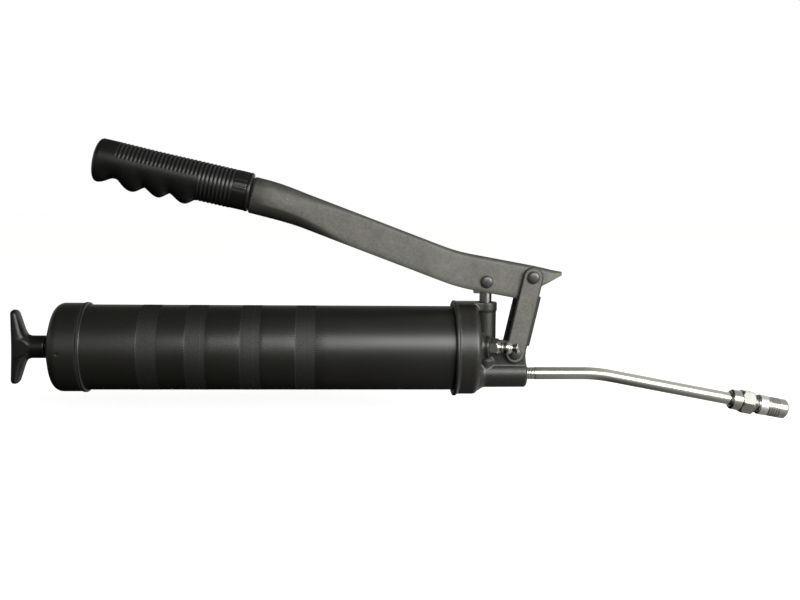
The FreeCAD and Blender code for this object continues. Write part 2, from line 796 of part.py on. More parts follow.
def make_pipe():
    """Straight run out of the head, one bend downwards, straight run into the coupler."""
    pipe = new_body("extension_pipe")
    drop = math.radians(SIZES["pipe_drop"])
    radius = SIZES["bend_radius"]
    level = SIZES["outlet_height"]
    bend = SIZES["bend_across"] - radius * math.tan(drop / 2)
    centre = FreeCAD.Vector(bend, level - radius, 0)
    lead_out = FreeCAD.Vector(math.cos(drop), -math.sin(drop), 0)
    after = centre + FreeCAD.Vector(math.sin(drop), math.cos(drop), 0) * radius

    spine = new_sketch(pipe)
    mouth = FreeCAD.Vector(SIZES["pipe_start"], level, 0)
    spine.addGeometry(Part.LineSegment(mouth, FreeCAD.Vector(bend, level, 0)))
    arc = Part.Circle(centre, ABOUT_Z, radius)
    spine.addGeometry(Part.ArcOfCircle(arc, math.pi / 2 - drop, math.pi / 2))
    spine.addGeometry(Part.LineSegment(after, after + lead_out * 90))
    spine.addConstraint(Sketcher.Constraint("Tangent", 0, 2, 1, 2))
    spine.addConstraint(Sketcher.Constraint("Tangent", 1, 1, 2, 1))
    bend_size = spine.addConstraint(Sketcher.Constraint("Radius", 1, radius))
    spine.renameConstraint(bend_size, "BendRadius")
    spine.setExpression("Constraints.BendRadius", bound("bend_radius"))
    spine.addConstraint(Sketcher.Constraint("Horizontal", 0))
    fix_point(spine, 0, 1, "pipe_start", "outlet_height")
    fix_point(spine, 2, 2, "coupler_across + 8 * cos(pipe_drop)", "coupler_up - 8 * sin(pipe_drop)")

    section = new_sketch(pipe, "YZ_Plane", "pipe_start")
    circle(section, "pipe_radius", "0", "outlet_height")
    circle(section, "pipe_bore", "0", "outlet_height")
    document.recompute()
    sweep = pipe.newObject("PartDesign::AdditivePipe", "pipe_sweep")
    sweep.Profile = section
    sweep.Spine = (spine, ["Edge1", "Edge2", "Edge3"])


def make_coupler():
    """Hexagon body on the pipe, a plain band and a nose sleeve that holds the jaws."""
    hexed = new_body("coupler_body")
    sketch = new_sketch(hexed, "YZ_Plane", "7.6")
    hexagon(sketch, "coupler_flats", 0)
    pad(hexed, sketch, "8.6", both_ways=False)
    revolve(hexed, [
        ("0", "0"),
        ("0", "coupler_radius - 1.1"),
        ("1.2", "coupler_radius"),
        ("8", "coupler_radius"),
        ("16", "coupler_radius - 0.5"),
        ("20.4", "coupler_radius - 0.5"),
        ("20.4", "5.2"),
        ("28", "5.2"),
        ("28", "0"),
    ])
    round_bar(hexed, "pipe_radius", "9", "X", "0 - 1", cut=True)
    round_bar(hexed, "1.8", "40", "X", cut=True)
    round_bar(hexed, "3.9", "20", "X", "18", cut=True)

    band = ring("coupler_band", "20.4", "26.5", "5.2", "coupler_radius")
    nose = turned("coupler_nose", [
        ("26.5", "5.2"),
        ("26.5", "nose_radius"),
        ("30", "nose_radius"),
        ("30", "nose_radius - 0.5"),
        ("31.2", "nose_radius - 0.5"),
        ("31.2", "nose_radius"),
        ("33.2", "nose_radius"),
        ("33.2", "nose_radius - 0.5"),
        ("34.4", "nose_radius - 0.5"),
        ("34.4", "nose_radius"),
        ("coupler_length - 1.4", "nose_radius"),
        ("coupler_length", "nose_radius - 1.6"),
        ("coupler_length", "4.2"),
        ("38.6", "4.4"),
        ("35.9", "5.3"),
        ("28.2", "5.3"),
        ("28.2", "5.2"),
    ])
    jaws = turned("coupler_jaws", [
        ("31", "jaw_bore"),
        ("31", "5.0"),
        ("35.4", "5.0"),
        ("38", "4.1"),
        ("38", "jaw_bore"),
    ])
    block(jaws, ("30", "0 - 0.35", "0 - 8"), ("40", "0.35", "8"), cut=True)
    block(jaws, ("30", "0 - 8", "0 - 0.35"), ("40", "8", "0.35"), cut=True)
    seal = ring("coupler_seal", "24.05", "30.95", "1.2", "3.7")
    washer = ring("seal_washer", "23", "24", "1.2", "3.7")
    spring = coil("coupler_spring", "3.0", "0.35", "18.4", "1.02", 4)
    for body in (hexed, band, nose, jaws, seal, washer, spring):
        put(body, "coupler_across", "0", "coupler_up", ABOUT_Y, "pipe_drop")


# --- whole gun --------------------------------------------------------------------------------


def check_document():
    """Stop if any object failed to compute or any sub-part has no valid solid."""
    for item in document.Objects:
        if "Invalid" in item.State or "Error" in item.State:
            raise RuntimeError(f"{item.Name} did not compute: {item.State}")
    for item in sub_parts:
        if item.Shape.isNull() or not item.Shape.isValid() or not item.Shape.Solids:
            raise RuntimeError(f"{item.Label} has no valid solid")
        box = item.Shape.BoundBox
        print(f"{item.Label:22s} {len(item.Shape.Solids)} solid {item.Shape.Volume:9.0f} mm3", box)


def write_parts():
    os.makedirs("parts", exist_ok=True)
    for item in sub_parts:
        item.Shape.exportStep(f"parts/{item.Label}.step")


fill_sheet()
make_barrel()
make_rear_cap()
make_rod_guide()
make_follower()
make_rod()
make_handle()
make_head()
make_packing()
make_outlet_check()
make_filler_nipple()
make_plunger()
make_link()
make_lever()
make_grip()
make_pipe()
make_coupler()
document.recompute()
check_document()
write_parts()
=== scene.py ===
import json
import math

import bmesh
import bpy
import numpy as np
from mathutils import Matrix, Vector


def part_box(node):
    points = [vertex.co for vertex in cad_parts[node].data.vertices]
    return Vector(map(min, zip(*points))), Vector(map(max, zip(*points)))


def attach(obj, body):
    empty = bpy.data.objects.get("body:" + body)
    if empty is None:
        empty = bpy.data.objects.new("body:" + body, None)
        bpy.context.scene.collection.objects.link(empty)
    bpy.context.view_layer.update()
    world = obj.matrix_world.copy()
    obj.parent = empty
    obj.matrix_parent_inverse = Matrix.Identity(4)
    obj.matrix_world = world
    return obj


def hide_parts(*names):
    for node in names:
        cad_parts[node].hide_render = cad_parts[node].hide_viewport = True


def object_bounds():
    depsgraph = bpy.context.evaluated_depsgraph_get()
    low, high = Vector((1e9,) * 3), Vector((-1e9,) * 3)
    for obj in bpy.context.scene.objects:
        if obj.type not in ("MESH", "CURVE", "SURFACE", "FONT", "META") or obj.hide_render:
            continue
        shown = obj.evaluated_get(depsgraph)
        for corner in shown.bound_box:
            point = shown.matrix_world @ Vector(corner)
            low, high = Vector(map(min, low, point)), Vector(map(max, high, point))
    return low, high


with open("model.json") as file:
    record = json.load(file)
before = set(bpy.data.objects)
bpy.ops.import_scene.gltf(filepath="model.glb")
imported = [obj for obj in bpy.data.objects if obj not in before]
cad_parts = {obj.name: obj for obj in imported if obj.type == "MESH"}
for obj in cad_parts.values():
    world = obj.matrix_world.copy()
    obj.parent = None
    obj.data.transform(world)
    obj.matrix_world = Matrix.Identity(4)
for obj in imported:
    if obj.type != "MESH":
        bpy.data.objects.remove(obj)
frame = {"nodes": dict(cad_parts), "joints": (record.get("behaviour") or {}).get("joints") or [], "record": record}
cadLow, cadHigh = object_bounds()
mm = 0.001
print("frame loaded")


# lowest and highest corners of a frame part, in millimetres
def span(node):
    low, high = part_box(node)
    return np.array(low) / mm, np.array(high) / mm


# a joint's place, in millimetres
def pivot(name):
    joint = next(j for j in frame["joints"] if j["name"] == name)
    return np.array(joint["pos_m"]) / mm


# three axes that carry local x, y, z: x along the given direction, z as near to up as it can be
def axesAlong(direction, up=(0, 0, 1)):
    x = np.array(direction, float) / np.linalg.norm(direction)
    y = np.cross(up, x)
    y /= np.linalg.norm(y)
    return np.array([x, y, np.cross(x, y)])


# origin + x * axis0 + y * axis1 + z * axis2
def placed(points, origin, axes):
    return np.asarray(origin) + points @ axes


# every corner of an outline becomes an arc that touches both its sides, worked out between the
# two tangent points about the arc's centre
def rounded(corners, radius, steps=5, closed=False):
    nearlyStraight = 1.56
    corners = np.array(corners, float)
    count = len(corners)
    radii = np.broadcast_to(radius, count)
    line = []
    for k in range(count):
        here = corners[k]
        if not closed and k in (0, count - 1):
            line.append(here[None])
            continue
        back, ahead = corners[k - 1] - here, corners[(k + 1) % count] - here
        sides = np.linalg.norm(back), np.linalg.norm(ahead)
        back, ahead = back / sides[0], ahead / sides[1]
        half = math.acos(np.clip(back @ ahead, -1, 1)) / 2
        if radii[k] <= 0 or half > nearlyStraight:
            line.append(here[None])
            continue
        reach = min(radii[k] / math.tan(half), 0.48 * min(sides))
        arcRadius = reach * math.tan(half)
        centre = here + (back + ahead) / np.linalg.norm(back + ahead) * arcRadius / math.sin(half)
        first, last = here + back * reach - centre, here + ahead * reach - centre
        sweep = math.pi - 2 * half
        t = np.linspace(0, 1, steps + 1)[:, None]
        arc = first * np.sin((1 - t) * sweep) + last * np.sin(t * sweep)
        line.append(centre + arc / math.sin(sweep))
    return np.vstack(line)


# a line with points added so that none are further apart than step
def filled(line, step, closed=False):
    line = np.vstack([line, line[:1]]) if closed else line
    lengths = np.linalg.norm(np.diff(line, axis=0), axis=1)
    parts = []
    for start, end, length in zip(line[:-1], line[1:], lengths):
        count = max(1, int(math.ceil(length / step)))
        parts.append(start + (end - start) * np.arange(count)[:, None] / count)
    if not closed:
        parts.append(line[-1:])
    return np.vstack(parts)


# a wave that runs 0, 1, 0 in straight flanks once in each whole number of turns
def ridge(turns):
    return 1 - np.abs(2 * (turns - np.floor(turns)) - 1)


# 0 below low, 1 above high, smooth between
def ease(value, low, high):
    t = np.clip((value - low) / (high - low), 0, 1)
    return t * t * (3 - 2 * t)


# a profile of (along, radius) turned about local x: (a, r sin t, r cos t); lift is added to the
# radius, and so is what shift works out from the place, the turn and the radius of each point
def lathe(profile, columns=96, shift=None, lift=0.0):
    profile = np.array(profile, float)
    along = np.repeat(profile[:, :1], columns, 1)
    around = np.repeat(np.arange(columns)[None] * 2 * np.pi / columns, len(profile), 0)
    radius = np.repeat(profile[:, 1:], columns, 1) + lift
    if shift is not None:
        radius = radius + shift(along, around, radius)
    return np.stack([along, radius * np.sin(around), radius * np.cos(around)], -1)


# a closed outline in local x, z carried from one y to another, with edges eased in by a radius
# and both faces closed on the outline's middle
def slab(outline, low, high, edge=0.0, middle=None):
    outline = np.array(outline, float)
    middle = outline.mean(0) if middle is None else np.asarray(middle, float)
    rows = [(low, 0.0)]
    if edge:
        turns = np.linspace(0, np.pi / 2, 4)[::-1]
        rows = [(low + edge * (1 - np.sin(t)), edge * (1 - np.cos(t))) for t in turns]
    rows = rows + [(high + low - y, inset) for y, inset in rows[::-1]]
    ahead, back = np.roll(outline, -1, 0), np.roll(outline, 1, 0)
    tangent = ahead - back
    tangent /= np.linalg.norm(tangent, axis=1)[:, None]
    normal = np.stack([tangent[:, 1], -tangent[:, 0]], -1)
    if ((outline - middle) * normal).sum() < 0:
        normal = -normal
    rings = [(low, middle + 0 * outline)]
    rings += [(y, outline - normal * inset) for y, inset in rows]
    rings += [(high, middle + 0 * outline)]
    return np.stack([np.stack([r[:, 0], np.full(len(r), y), r[:, 1]], -1) for y, r in rings])


# a closed ring of points carried over rows; the first and last rows are closed on their middle line
def closedRows(grid):
    ends = [np.repeat(g.mean(0)[None], g.shape[0], 0) for g in (grid[0], grid[-1])]
    return np.concatenate([ends[0][None], grid, ends[1][None]])


# joins grids of points into one mesh in metres; each grid's last column meets its first, doubled
# points are merged, and closed shells are turned to face outwards
def makeMesh(name, grids, values=None, sharp=35.0):
    points, faces, first = [], [], 0
    for grid in grids:
        rows, columns = grid.shape[:2]
        row, column = np.meshgrid(np.arange(rows - 1), np.arange(columns), indexing="ij")
        after = (column + 1) % columns
        corners = [row * columns + column, row * columns + after]
        corners += [(row + 1) * columns + after, (row + 1) * columns + column]
        faces.append(np.stack(corners, -1).reshape(-1, 4) + first)
        points.append(grid.reshape(-1, 3))
        first += rows * columns
    mesh = bpy.data.meshes.new(name)
    mesh.from_pydata(np.vstack(points) * mm, [], np.vstack(faces).tolist())
    for label, value in (values or {}).items():
        addValues(mesh, label, value)
    shell = bmesh.new()
    shell.from_mesh(mesh)
    bmesh.ops.remove_doubles(shell, verts=shell.verts, dist=0.003 * mm)
    bmesh.ops.dissolve_degenerate(shell, edges=shell.edges, dist=0.001 * mm)
    bmesh.ops.recalc_face_normals(shell, faces=shell.faces)
    shell.to_mesh(mesh)
    shell.free()
    mesh.shade_smooth()
    mesh.set_sharp_from_angle(angle=math.radians(sharp))
    return mesh


# one closed skin round overlapping shells, its corners softened as on a casting or a moulding
def fuse(mesh, voxel, passes):
    draft = bpy.data.objects.new(mesh.name, mesh)
    bpy.context.scene.collection.objects.link(draft)
    skin = draft.modifiers.new("skin", "REMESH")
    skin.mode = "VOXEL"
    skin.voxel_size = voxel * mm
    skin.use_smooth_shade = True
    soften = draft.modifiers.new("soften", "SMOOTH")
    soften.factor = 0.5
    soften.iterations = passes
    return applied(draft)


# a mesh's points in millimetres
def cornersOf(mesh):
    points = np.zeros(len(mesh.vertices) * 3)
    mesh.vertices.foreach_get("co", points)
    return points.reshape(-1, 3) / mm


# one number for each point, for the finishes to read
def addValues(mesh, label, values):
    mesh.attributes.new(label, "FLOAT", "POINT").data.foreach_set("value", values.ravel().astype(np.float32))


# holes drilled by closed shells
def drill(mesh, cutter):
    draft = bpy.data.objects.new(mesh.name, mesh)
    tool = bpy.data.objects.new(cutter.name, cutter)
    for item in (draft, tool):
        bpy.context.scene.collection.objects.link(item)
    cut = draft.modifiers.new("bores", "BOOLEAN")
    cut.operation = "DIFFERENCE"
    cut.solver = "EXACT"
    cut.object = tool
    result = applied(draft)
    bpy.data.objects.remove(tool)
    result.set_sharp_from_angle(angle=math.radians(50))
    return result


# the mesh that an object's modifiers give
def applied(draft):
    bpy.context.view_layer.update()
    graph = bpy.context.evaluated_depsgraph_get()
    mesh = bpy.data.meshes.new_from_object(draft.evaluated_get(graph))
    name, rough = draft.name, draft.data
    bpy.data.objects.remove(draft)
    bpy.data.meshes.remove(rough)
    mesh.name = name
    mesh.shade_smooth()
    return mesh


# a mesh becomes a shown piece: its finish, its body, and the frame parts that it stands for
def addPiece(mesh, finish, body, *nodes):
    piece = bpy.data.objects.new(mesh.name, mesh)
    bpy.context.scene.collection.objects.link(piece)
    mesh.materials.clear()
    mesh.materials.append(finishes[finish])
    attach(piece, body)
    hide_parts(*nodes)
    print(mesh.name, len(mesh.polygons), "faces")


class Wire:
    # a node's socket that takes part in sums
    def __init__(self, paint, socket):
        self.paint = paint
        self.socket = socket

    def sum(self, operation, a, b):
        return self.paint.node("ShaderNodeMath", {"operation": operation}, {0: a, 1: b})

    def __add__(self, other):
        return self.sum("ADD", self, other)

    def __sub__(self, other):
        return self.sum("SUBTRACT", self, other)

    def __rsub__(self, other):
        return self.sum("SUBTRACT", other, self)

    def __mul__(self, other):
        return self.sum("MULTIPLY", self, other)

    __radd__ = __add__
    __rmul__ = __mul__


class Paint:
    # one material and its nodes
    def __init__(self, name):
        self.material = bpy.data.materials.new(name)
        self.material.use_nodes = True
        self.tree = self.material.node_tree
        self.tree.nodes.clear()
        self.place = self.node("ShaderNodeTexCoord", output="Object")

    # a node by its type, its settings, then the values or wires of its sockets
    def node(self, kind, settings=None, inputs=None, output=0):
        node = self.tree.nodes.new(kind)
        for key, value in (settings or {}).items():
            if key == "stops":
                for k, (spot, level) in enumerate(value):
                    stop = node.color_ramp.elements[k]
                    stop.position = spot
                    stop.color = (level, level, level, 1)
            else:
                setattr(node, key, value)
        for key, value in (inputs or {}).items():
            if isinstance(value, Wire):
                self.tree.links.new(value.socket, node.inputs[key])
            else:
                node.inputs[key].default_value = value
        return Wire(self, node.outputs[output])

    # cloudy variation; size is the width of one patch in millimetres
    def clouds(self, size, detail=3.0, roughness=0.5, stretch=None):
        place = self.place
        if stretch:
            place = self.node("ShaderNodeMapping", None, {"Vector": place, "Scale": stretch})
        inputs = {"Vector": place, "Scale": 1 / (size * mm), "Detail": detail, "Roughness": roughness}
        return self.node("ShaderNodeTexNoise", None, inputs)

    # 1 near the middles of scattered cells of that size in millimetres, 0 between them
    def specks(self, size, share):
        inputs = {"Vector": self.place, "Scale": 1 / (size * mm)}
        return self.ramp(self.node("ShaderNodeTexVoronoi", None, inputs), share, share * 0.5)

    # 0 up to low and 1 from high; the other way round when low is above high
    def ramp(self, value, low, high):
        stops = [(low, 0.0), (high, 1.0)] if low < high else [(high, 1.0), (low, 0.0)]
        return self.node("ShaderNodeValToRGB", {"stops": stops}, {0: value})

    def mix(self, factor, a, b):
        colours = [c if isinstance(c, Wire) else (*c, 1) for c in (a, b)]
        inputs = {0: factor, 6: colours[0], 7: colours[1]}
        return self.node("ShaderNodeMix", {"data_type": "RGBA"}, inputs, 2)

    def bump(self, height, depth, strength=1.0, under=None):
        inputs = {"Height": height, "Distance": depth * mm, "Strength": strength}
        if under:
            inputs["Normal"] = under
        return self.node("ShaderNodeBump", None, inputs)

    def attribute(self, name):
        return self.node("ShaderNodeAttribute", {"attribute_name": name}, output="Fac")

    def finish(self, **sockets):
        inputs = {key.replace("_", " "): value for key, value in sockets.items()}
        shader = self.node("ShaderNodeBsdfPrincipled", None, inputs)
        end = self.tree.nodes.new("ShaderNodeOutputMaterial")
        self.tree.links.new(shader.socket, end.inputs["Surface"])
        return self.material


paintTones = {
    "barrelDeep": (0.008, 0.0077, 0.0058),
    "barrelPale": (0.014, 0.0136, 0.0108),
    "band": (0.005, 0.0048, 0.0038),
    "scuff": (0.07, 0.068, 0.058),
    "head": (0.017, 0.0166, 0.0132),
    "lever": (0.132, 0.128, 0.108),
    "rivet": (0.034, 0.033, 0.029),
    # the dark colour that the 'rim' values paint in as shade
    "rim": (0.009, 0.0088, 0.0078),
}


# smooth enamel over a steel tube; the knurled bands are rough and duller; a painted shade line at the rear cap's
# bead step
def barrelPaint():
    paint = Paint("barrel_paint")
    streaks = paint.clouds(9, 4, 0.55, (0.12, 1, 1))
    patches = paint.clouds(38, 3)
    relief = paint.attribute("knurl")
    # painted shade: the 'rim' values darken the colour and raise the roughness so that no highlight shows there
    paintedShade = paint.attribute("rim")
    tone = paint.mix(patches, paintTones["barrelDeep"], paintTones["barrelPale"])
    tone = paint.mix(relief, tone, paintTones["band"])
    scuffs = paint.specks(3.1, 0.12)
    tone = paint.mix(scuffs * 0.35, tone, paintTones["scuff"])
    tone = paint.mix(paintedShade, tone, paintTones["rim"])
    rough = 0.29 + 0.08 * streaks + 0.06 * patches + 0.24 * relief + 0.5 * paintedShade
    skin = paint.clouds(0.7, 2)
    ripple = paint.bump(skin, 0.012, 0.6)
    return paint.finish(Base_Color=tone, Roughness=rough, Normal=ripple, Specular_IOR_Level=0.8)


# textured paint: fine raised grain, darker pits, a few pale specks, and painted shade where the piece's 'rim'
# values say
def grainPaint(name, tone, grain, roughness, fleck, gloss):
    paint = Paint(name)
    patches = paint.clouds(11, 5, 0.7)
    fine = paint.clouds(grain, 3, 0.65)
    coarse = paint.clouds(grain * 3.2, 2, 0.5)
    dark = tuple(0.72 * c for c in tone)
    light = tuple(1.28 * c for c in tone)
    body = paint.mix(paint.ramp(patches * 0.6 + coarse * 0.4, 0.34, 0.66), dark, light)
    pits = paint.ramp(fine, 0.47, 0.36)
    body = paint.mix(pits * 0.55, body, tuple(0.42 * c for c in tone))
    grit = paint.ramp(paint.clouds(grain * 1.3, 2, 0.7), 0.60, 0.72)
    body = paint.mix(grit * fleck, body, tuple(min(1, 1.7 * c + 0.03) for c in tone))
    # painted shade: darker along edges, inside channels and along seams, as the piece's 'rim' values give
    body = paint.mix(paint.attribute("rim"), body, paintTones["rim"])
    rough = roughness + 0.14 * fine - 0.06 * patches
    ripple = paint.bump(coarse, 0.05, 0.5)
    ripple = paint.bump(fine, 0.045, 0.8, ripple)
    return paint.finish(Base_Color=body, Roughness=rough, Normal=ripple, Specular_IOR_Level=gloss)


# moulded rubber or plastic: even and dark with a faint bloom where it's handled
def mouldedBlack(name, tone, roughness):
    paint = Paint(name)
    bloom = paint.clouds(17, 4, 0.6)
    grain = paint.clouds(0.55, 2, 0.6)
    body = paint.mix(bloom, tuple(0.75 * c for c in tone), tuple(1.4 * c for c in tone))
    body = paint.mix(paint.specks(2.6, 0.08) * 0.4, body, (0.09, 0.088, 0.082))
    rough = roughness + 0.12 * bloom + 0.05 * grain
    return paint.finish(Base_Color=body, Roughness=rough, Normal=paint.bump(grain, 0.02, 0.6))


# plated or ground steel: fine lines round or along it, cloudy tarnish and dark spots
def brightSteel(name, tone, roughness, lines, tarnish, spotted):
    paint = Paint(name)
    clouds = paint.clouds(5.5, 4, 0.6)
    brushed = paint.clouds(0.5, 3, 0.6, lines)
    spots = paint.specks(1.9, 0.14)
    dull = tuple(0.62 * c for c in tone)
    body = paint.mix(clouds * tarnish, tone, dull)
    body = paint.mix(spots * spotted, body, tuple(0.35 * c for c in tone))
    rough = roughness + 0.06 * brushed + 0.08 * clouds + 0.2 * spotted * spots
    ripple = paint.bump(brushed, 0.003, 0.5)
    return paint.finish(Base_Color=body, Metallic=1.0, Roughness=rough, Normal=ripple)


finishes = {
    "barrel_paint": barrelPaint(),
    "head_paint": grainPaint("head_paint", paintTones["head"], 0.55, 0.33, 0.45, gloss=0.66),
    "lever_paint": grainPaint("lever_paint", paintTones["lever"], 0.6, 0.42, 0.6, gloss=0.5),
    "rivet_paint": grainPaint("rivet_paint", paintTones["rivet"], 0.5, 0.30, 0.3, gloss=0.8),
    "grip_rubber": mouldedBlack("grip_rubber", (0.0065, 0.0062, 0.0050), 0.24),
    "handle_plastic": mouldedBlack("handle_plastic", (0.008, 0.0077, 0.0060), 0.26),
    "seal_rubber": mouldedBlack("seal_rubber", (0.02, 0.02, 0.02), 0.5),
    "bush_plastic": mouldedBlack("bush_plastic", (0.03, 0.03, 0.03), 0.42),
}
# tone, roughness, how finely the brushed lines lie along local x, y and z, tarnish, spots
steels = {
    "polished_steel": ((0.46, 0.45, 0.42), 0.10, (1, 1, 0.08), 0.2, 0.1),
    "zinc_steel": ((0.80, 0.79, 0.725), 0.17, (0.05, 1, 1), 0.12, 0.05),
    "nickel_steel": ((0.64, 0.63, 0.575), 0.16, (1, 0.2, 0.2), 0.5, 0.4),
    "band_steel": ((0.95, 0.945, 0.91), 0.34, (1, 1, 0.3), 0.2, 0.2),
    "spring_steel": ((0.36, 0.35, 0.34), 0.3, (1, 1, 1), 0.6, 0.3),
}
for name, steel in steels.items():
    finishes[name] = brightSteel(name, *steel)
for part in frame["record"]["subparts"]:
    mesh = frame["nodes"][part["node"]].data
    mesh.materials.clear()
    mesh.materials.append(finishes[part["material_slot"]])
print("finishes made")

barrelLow, barrelHigh = span("barrel")
rearLow, rearHigh = span("rear_cap")
headLow, headHigh = span("pump_head")
tube = {"wall": 1.2, "columns": 440, "knurlRounds": 110, "bandWidth": 14.2, "relief": 0.34}
tube.update({"level": 0.62, "wear": 0.6, "fade": (0.2, 0.9), "plainRows": 40, "end": 0.6, "lip": 0.4})
tube["radius"] = barrelHigh[2]
tube["bands"] = barrelLow[0] + np.array([55.5, 86.6, 122.1, 158.2])


# an open tube with thin lips, turned from its profile; its rows lie close together in the bands
def makeBarrel():
    radius, half = tube["radius"], tube["bandWidth"] / 2
    pitch = 2 * np.pi * radius / tube["knurlRounds"]
    end, lip, wall = tube["end"], tube["lip"], tube["wall"]
    places = [np.linspace(barrelLow[0] + end, barrelHigh[0] - end, tube["plainRows"])]
    for middle in tube["bands"]:
        places.append(middle + np.arange(-half, half + 0.01, pitch / 4))
    across = np.unique(np.round(np.concatenate(places), 3))
    nearest = np.abs(across[:, None] - tube["bands"]).min(1)
    keep = (nearest <= half + 0.01) | (nearest > half + lip)
    across, nearest = across[keep], nearest[keep]
    inside = 1 - ease(nearest, half - tube["fade"][1], half - tube["fade"][0])
    outer = np.stack([across, np.full(len(across), radius)], -1)
    front = np.array([[barrelHigh[0], radius - lip], [barrelHigh[0], radius - wall]])
    start = np.array([[barrelLow[0], radius - wall], [barrelLow[0], radius - lip]])
    profile = np.vstack([start, outer, front, start[:1]])
    band = np.concatenate([[0, 0], inside, [0, 0, 0]])

    # two sets of helical ridges that cross; their lower flank at each point leaves pyramids
    turns = np.arange(tube["columns"])[None] / tube["columns"] * tube["knurlRounds"]
    steps = profile[:, :1] / pitch
    peaks = np.minimum(ridge(turns + steps), ridge(turns - steps))
    lift = band[:, None] * tube["relief"] * (peaks - tube["level"])
    grid = lathe(profile, tube["columns"], lift=lift)
    value = band[:, None] * (1 - tube["wear"] * peaks)
    return makeMesh("barrelTube", [grid], {"knurl": value}, sharp=60)


addPiece(makeBarrel(), "barrel_paint", "pump", "barrel")

# the last value is the width of the painted shade line behind the bead
rearCap = {"bead": 2.4, "step": 0.5, "wall": 1.7, "crown": 7.6, "corner": 6.4, "hole": 7.0, "paintedShade": 0.8}
rearCap["columns"] = 300
rearCap["dimple"] = {"across": rearLow[0] + 13.6, "depth": 0.4, "width": 0.9, "turn": 0.035}


# a turned cap: bead, skirt, round shoulder and flat rear with a hole, and the same on the inside
def makeRearCap():
    front, rear, radius = rearHigh[0], rearLow[0], rearHigh[2]
    skirt, wall = radius - rearCap["step"], rearCap["wall"]
    outside = [
        (front, tube["radius"] + 0.02), (front, radius), (front - rearCap["bead"], radius),
        (front - rearCap["bead"] - rearCap["step"], skirt),
        (rear + rearCap["crown"], skirt), (rear, rearCap["hole"]),
        (rear + wall, rearCap["hole"]),
        (rear + rearCap["crown"] + wall, skirt - wall - 0.3),
        (barrelLow[0] - 0.02, skirt - wall - 0.3),
        (barrelLow[0] - 0.02, tube["radius"] + 0.02),
    ]
    bends = [0.3, 0.9, 0.8, 0.6, rearCap["corner"], 0.6, 0.4, 4.0, 0, 0]
    profile = filled(rounded(outside, bends, 9, closed=True), 0.9, closed=True)
    profile = np.vstack([profile, profile[:1]])
    dimple = rearCap["dimple"]

    # a small round dent in the skirt on the near side
    def dent(along, around, radii):
        side = (around - 1.5 * np.pi + dimple["turn"]) * radius
        gap = np.hypot(along - dimple["across"], side) / dimple["width"]
        return -dimple["depth"] * np.exp(-gap**4) * (radii > skirt - 6)

    # painted shade: a dark line round the step behind the bead, only on the outer skin, where a shadow falls
    # between bead and skirt
    step = (profile[:, :1] - front + rearCap["bead"]) / rearCap["paintedShade"]
    paintedShade = np.exp(-(step**2)) * (profile[:, 1:] > skirt - 1) * np.ones(rearCap["columns"])
    return makeMesh("rearCap", [lathe(profile, rearCap["columns"], dent)], {"rim": paintedShade}, sharp=40)


addPiece(makeRearCap(), "barrel_paint", "pump", "rear_cap")

handleLow, handleHigh = span("t_handle")
handle = {"dish": 0.5, "stem": 7.6, "columns": 64, "rows": 61, "roundness": 0.86, "tip": 0.9, "neck": 8.5}
handle["levels"] = [0, 0.2, 0.33, 0.42, 0.55, 0.75, 0.92, 1]
handle["deep"] = [12.6, 12.2, 10.9, 9.4, 8.3, 6.9, 5.6, 5.2]
handle["wide"] = [7.4, 7.4, 7.2, 7.0, 6.7, 6.2, 5.6, 5.3]


# bar: superellipse sections stacked upwards, deep in the middle and thin at the round tips;
# stem: a turned sleeve that flares into the bar
def makeHandle():
    tall, tip = handleHigh[2], handle["tip"]
    up = tall * np.sin(np.linspace(-1, 1, handle["rows"]) * np.pi / 2)
    level = np.abs(up) / tall
    closing = np.sqrt(np.clip(1 - np.clip((level - tip) / (1 - tip), 0, 1) ** 2, 0, 1))
    rear = handleLow[0] + handle["dish"] * (1 - level**2)
    deep = np.interp(level, handle["levels"], handle["deep"])
    wide = np.interp(level, handle["levels"], handle["wide"])
    turn = np.linspace(0, 2 * np.pi, handle["columns"], endpoint=False)
    shape = [np.sign(f) * np.abs(f) ** handle["roundness"] for f in (np.cos(turn), np.sin(turn))]
    middle = rear + deep / 2
    x = middle[:, None] + deep[:, None] / 2 * shape[0] * closing[:, None]
    y = wide[:, None] * shape[1] * closing[:, None]
    z = np.repeat(up[:, None], handle["columns"], 1)
    bar = np.stack([x, y, z], -1)
    neck = handleLow[0] + handle["neck"]
    sleeveLine = rounded([
        (neck - 4, 0), (neck - 4, 10.2), (neck + 1.0, 9.2), (neck + 5, handle["stem"]),
        (handleHigh[0], handle["stem"]),
        (handleHigh[0], 0),
    ], [0, 0, 3, 5, 0.8, 0], 6)
    sleeve = lathe(filled(sleeveLine, 0.8), 72)
    sleeve[..., 1] = np.clip(sleeve[..., 1], -handle["stem"], handle["stem"])
    return fuse(makeMesh("crossHandle", [bar, sleeve]), voxel=0.42, passes=14)


addPiece(makeHandle(), "handle_plastic", "rod", "t_handle")
print("barrel, rear cap and handle made")

pipe = {"radius": 4.25, "bend": 110.0, "bendAt": 225.0, "threadEnd": headHigh[0] + 6.2, "pitch": 1.05}
pipe.update({"threadDepth": 0.42, "inCoupler": 7.5, "columns": 96})
packingLow, packingHigh = span("plunger_packing")
pumpAt = (packingLow[0] + packingHigh[0]) / 2
collarTop = span("packing_retainer")[1][2] + 0.5
outletUp = span("extension_pipe")[1][2] - pipe["radius"]
lowerPivot = pivot("link_swing")
upperPivot = pivot("lever_swing")
nippleMount = next(m for m in frame["record"]["mounts"] if m["name"] == "filler_nipple")
nippleAlong = np.array(nippleMount["axis"])
head = {"bead": 2.2, "cap": 31.3, "face": 141.2, "corner": 3.6, "seat": 138.4, "tube": 7.3, "collar": 7.9}
head.update({"outlet": 9.4, "lug": 8.0, "lugWide": 7.0, "lugTop": 4.9})
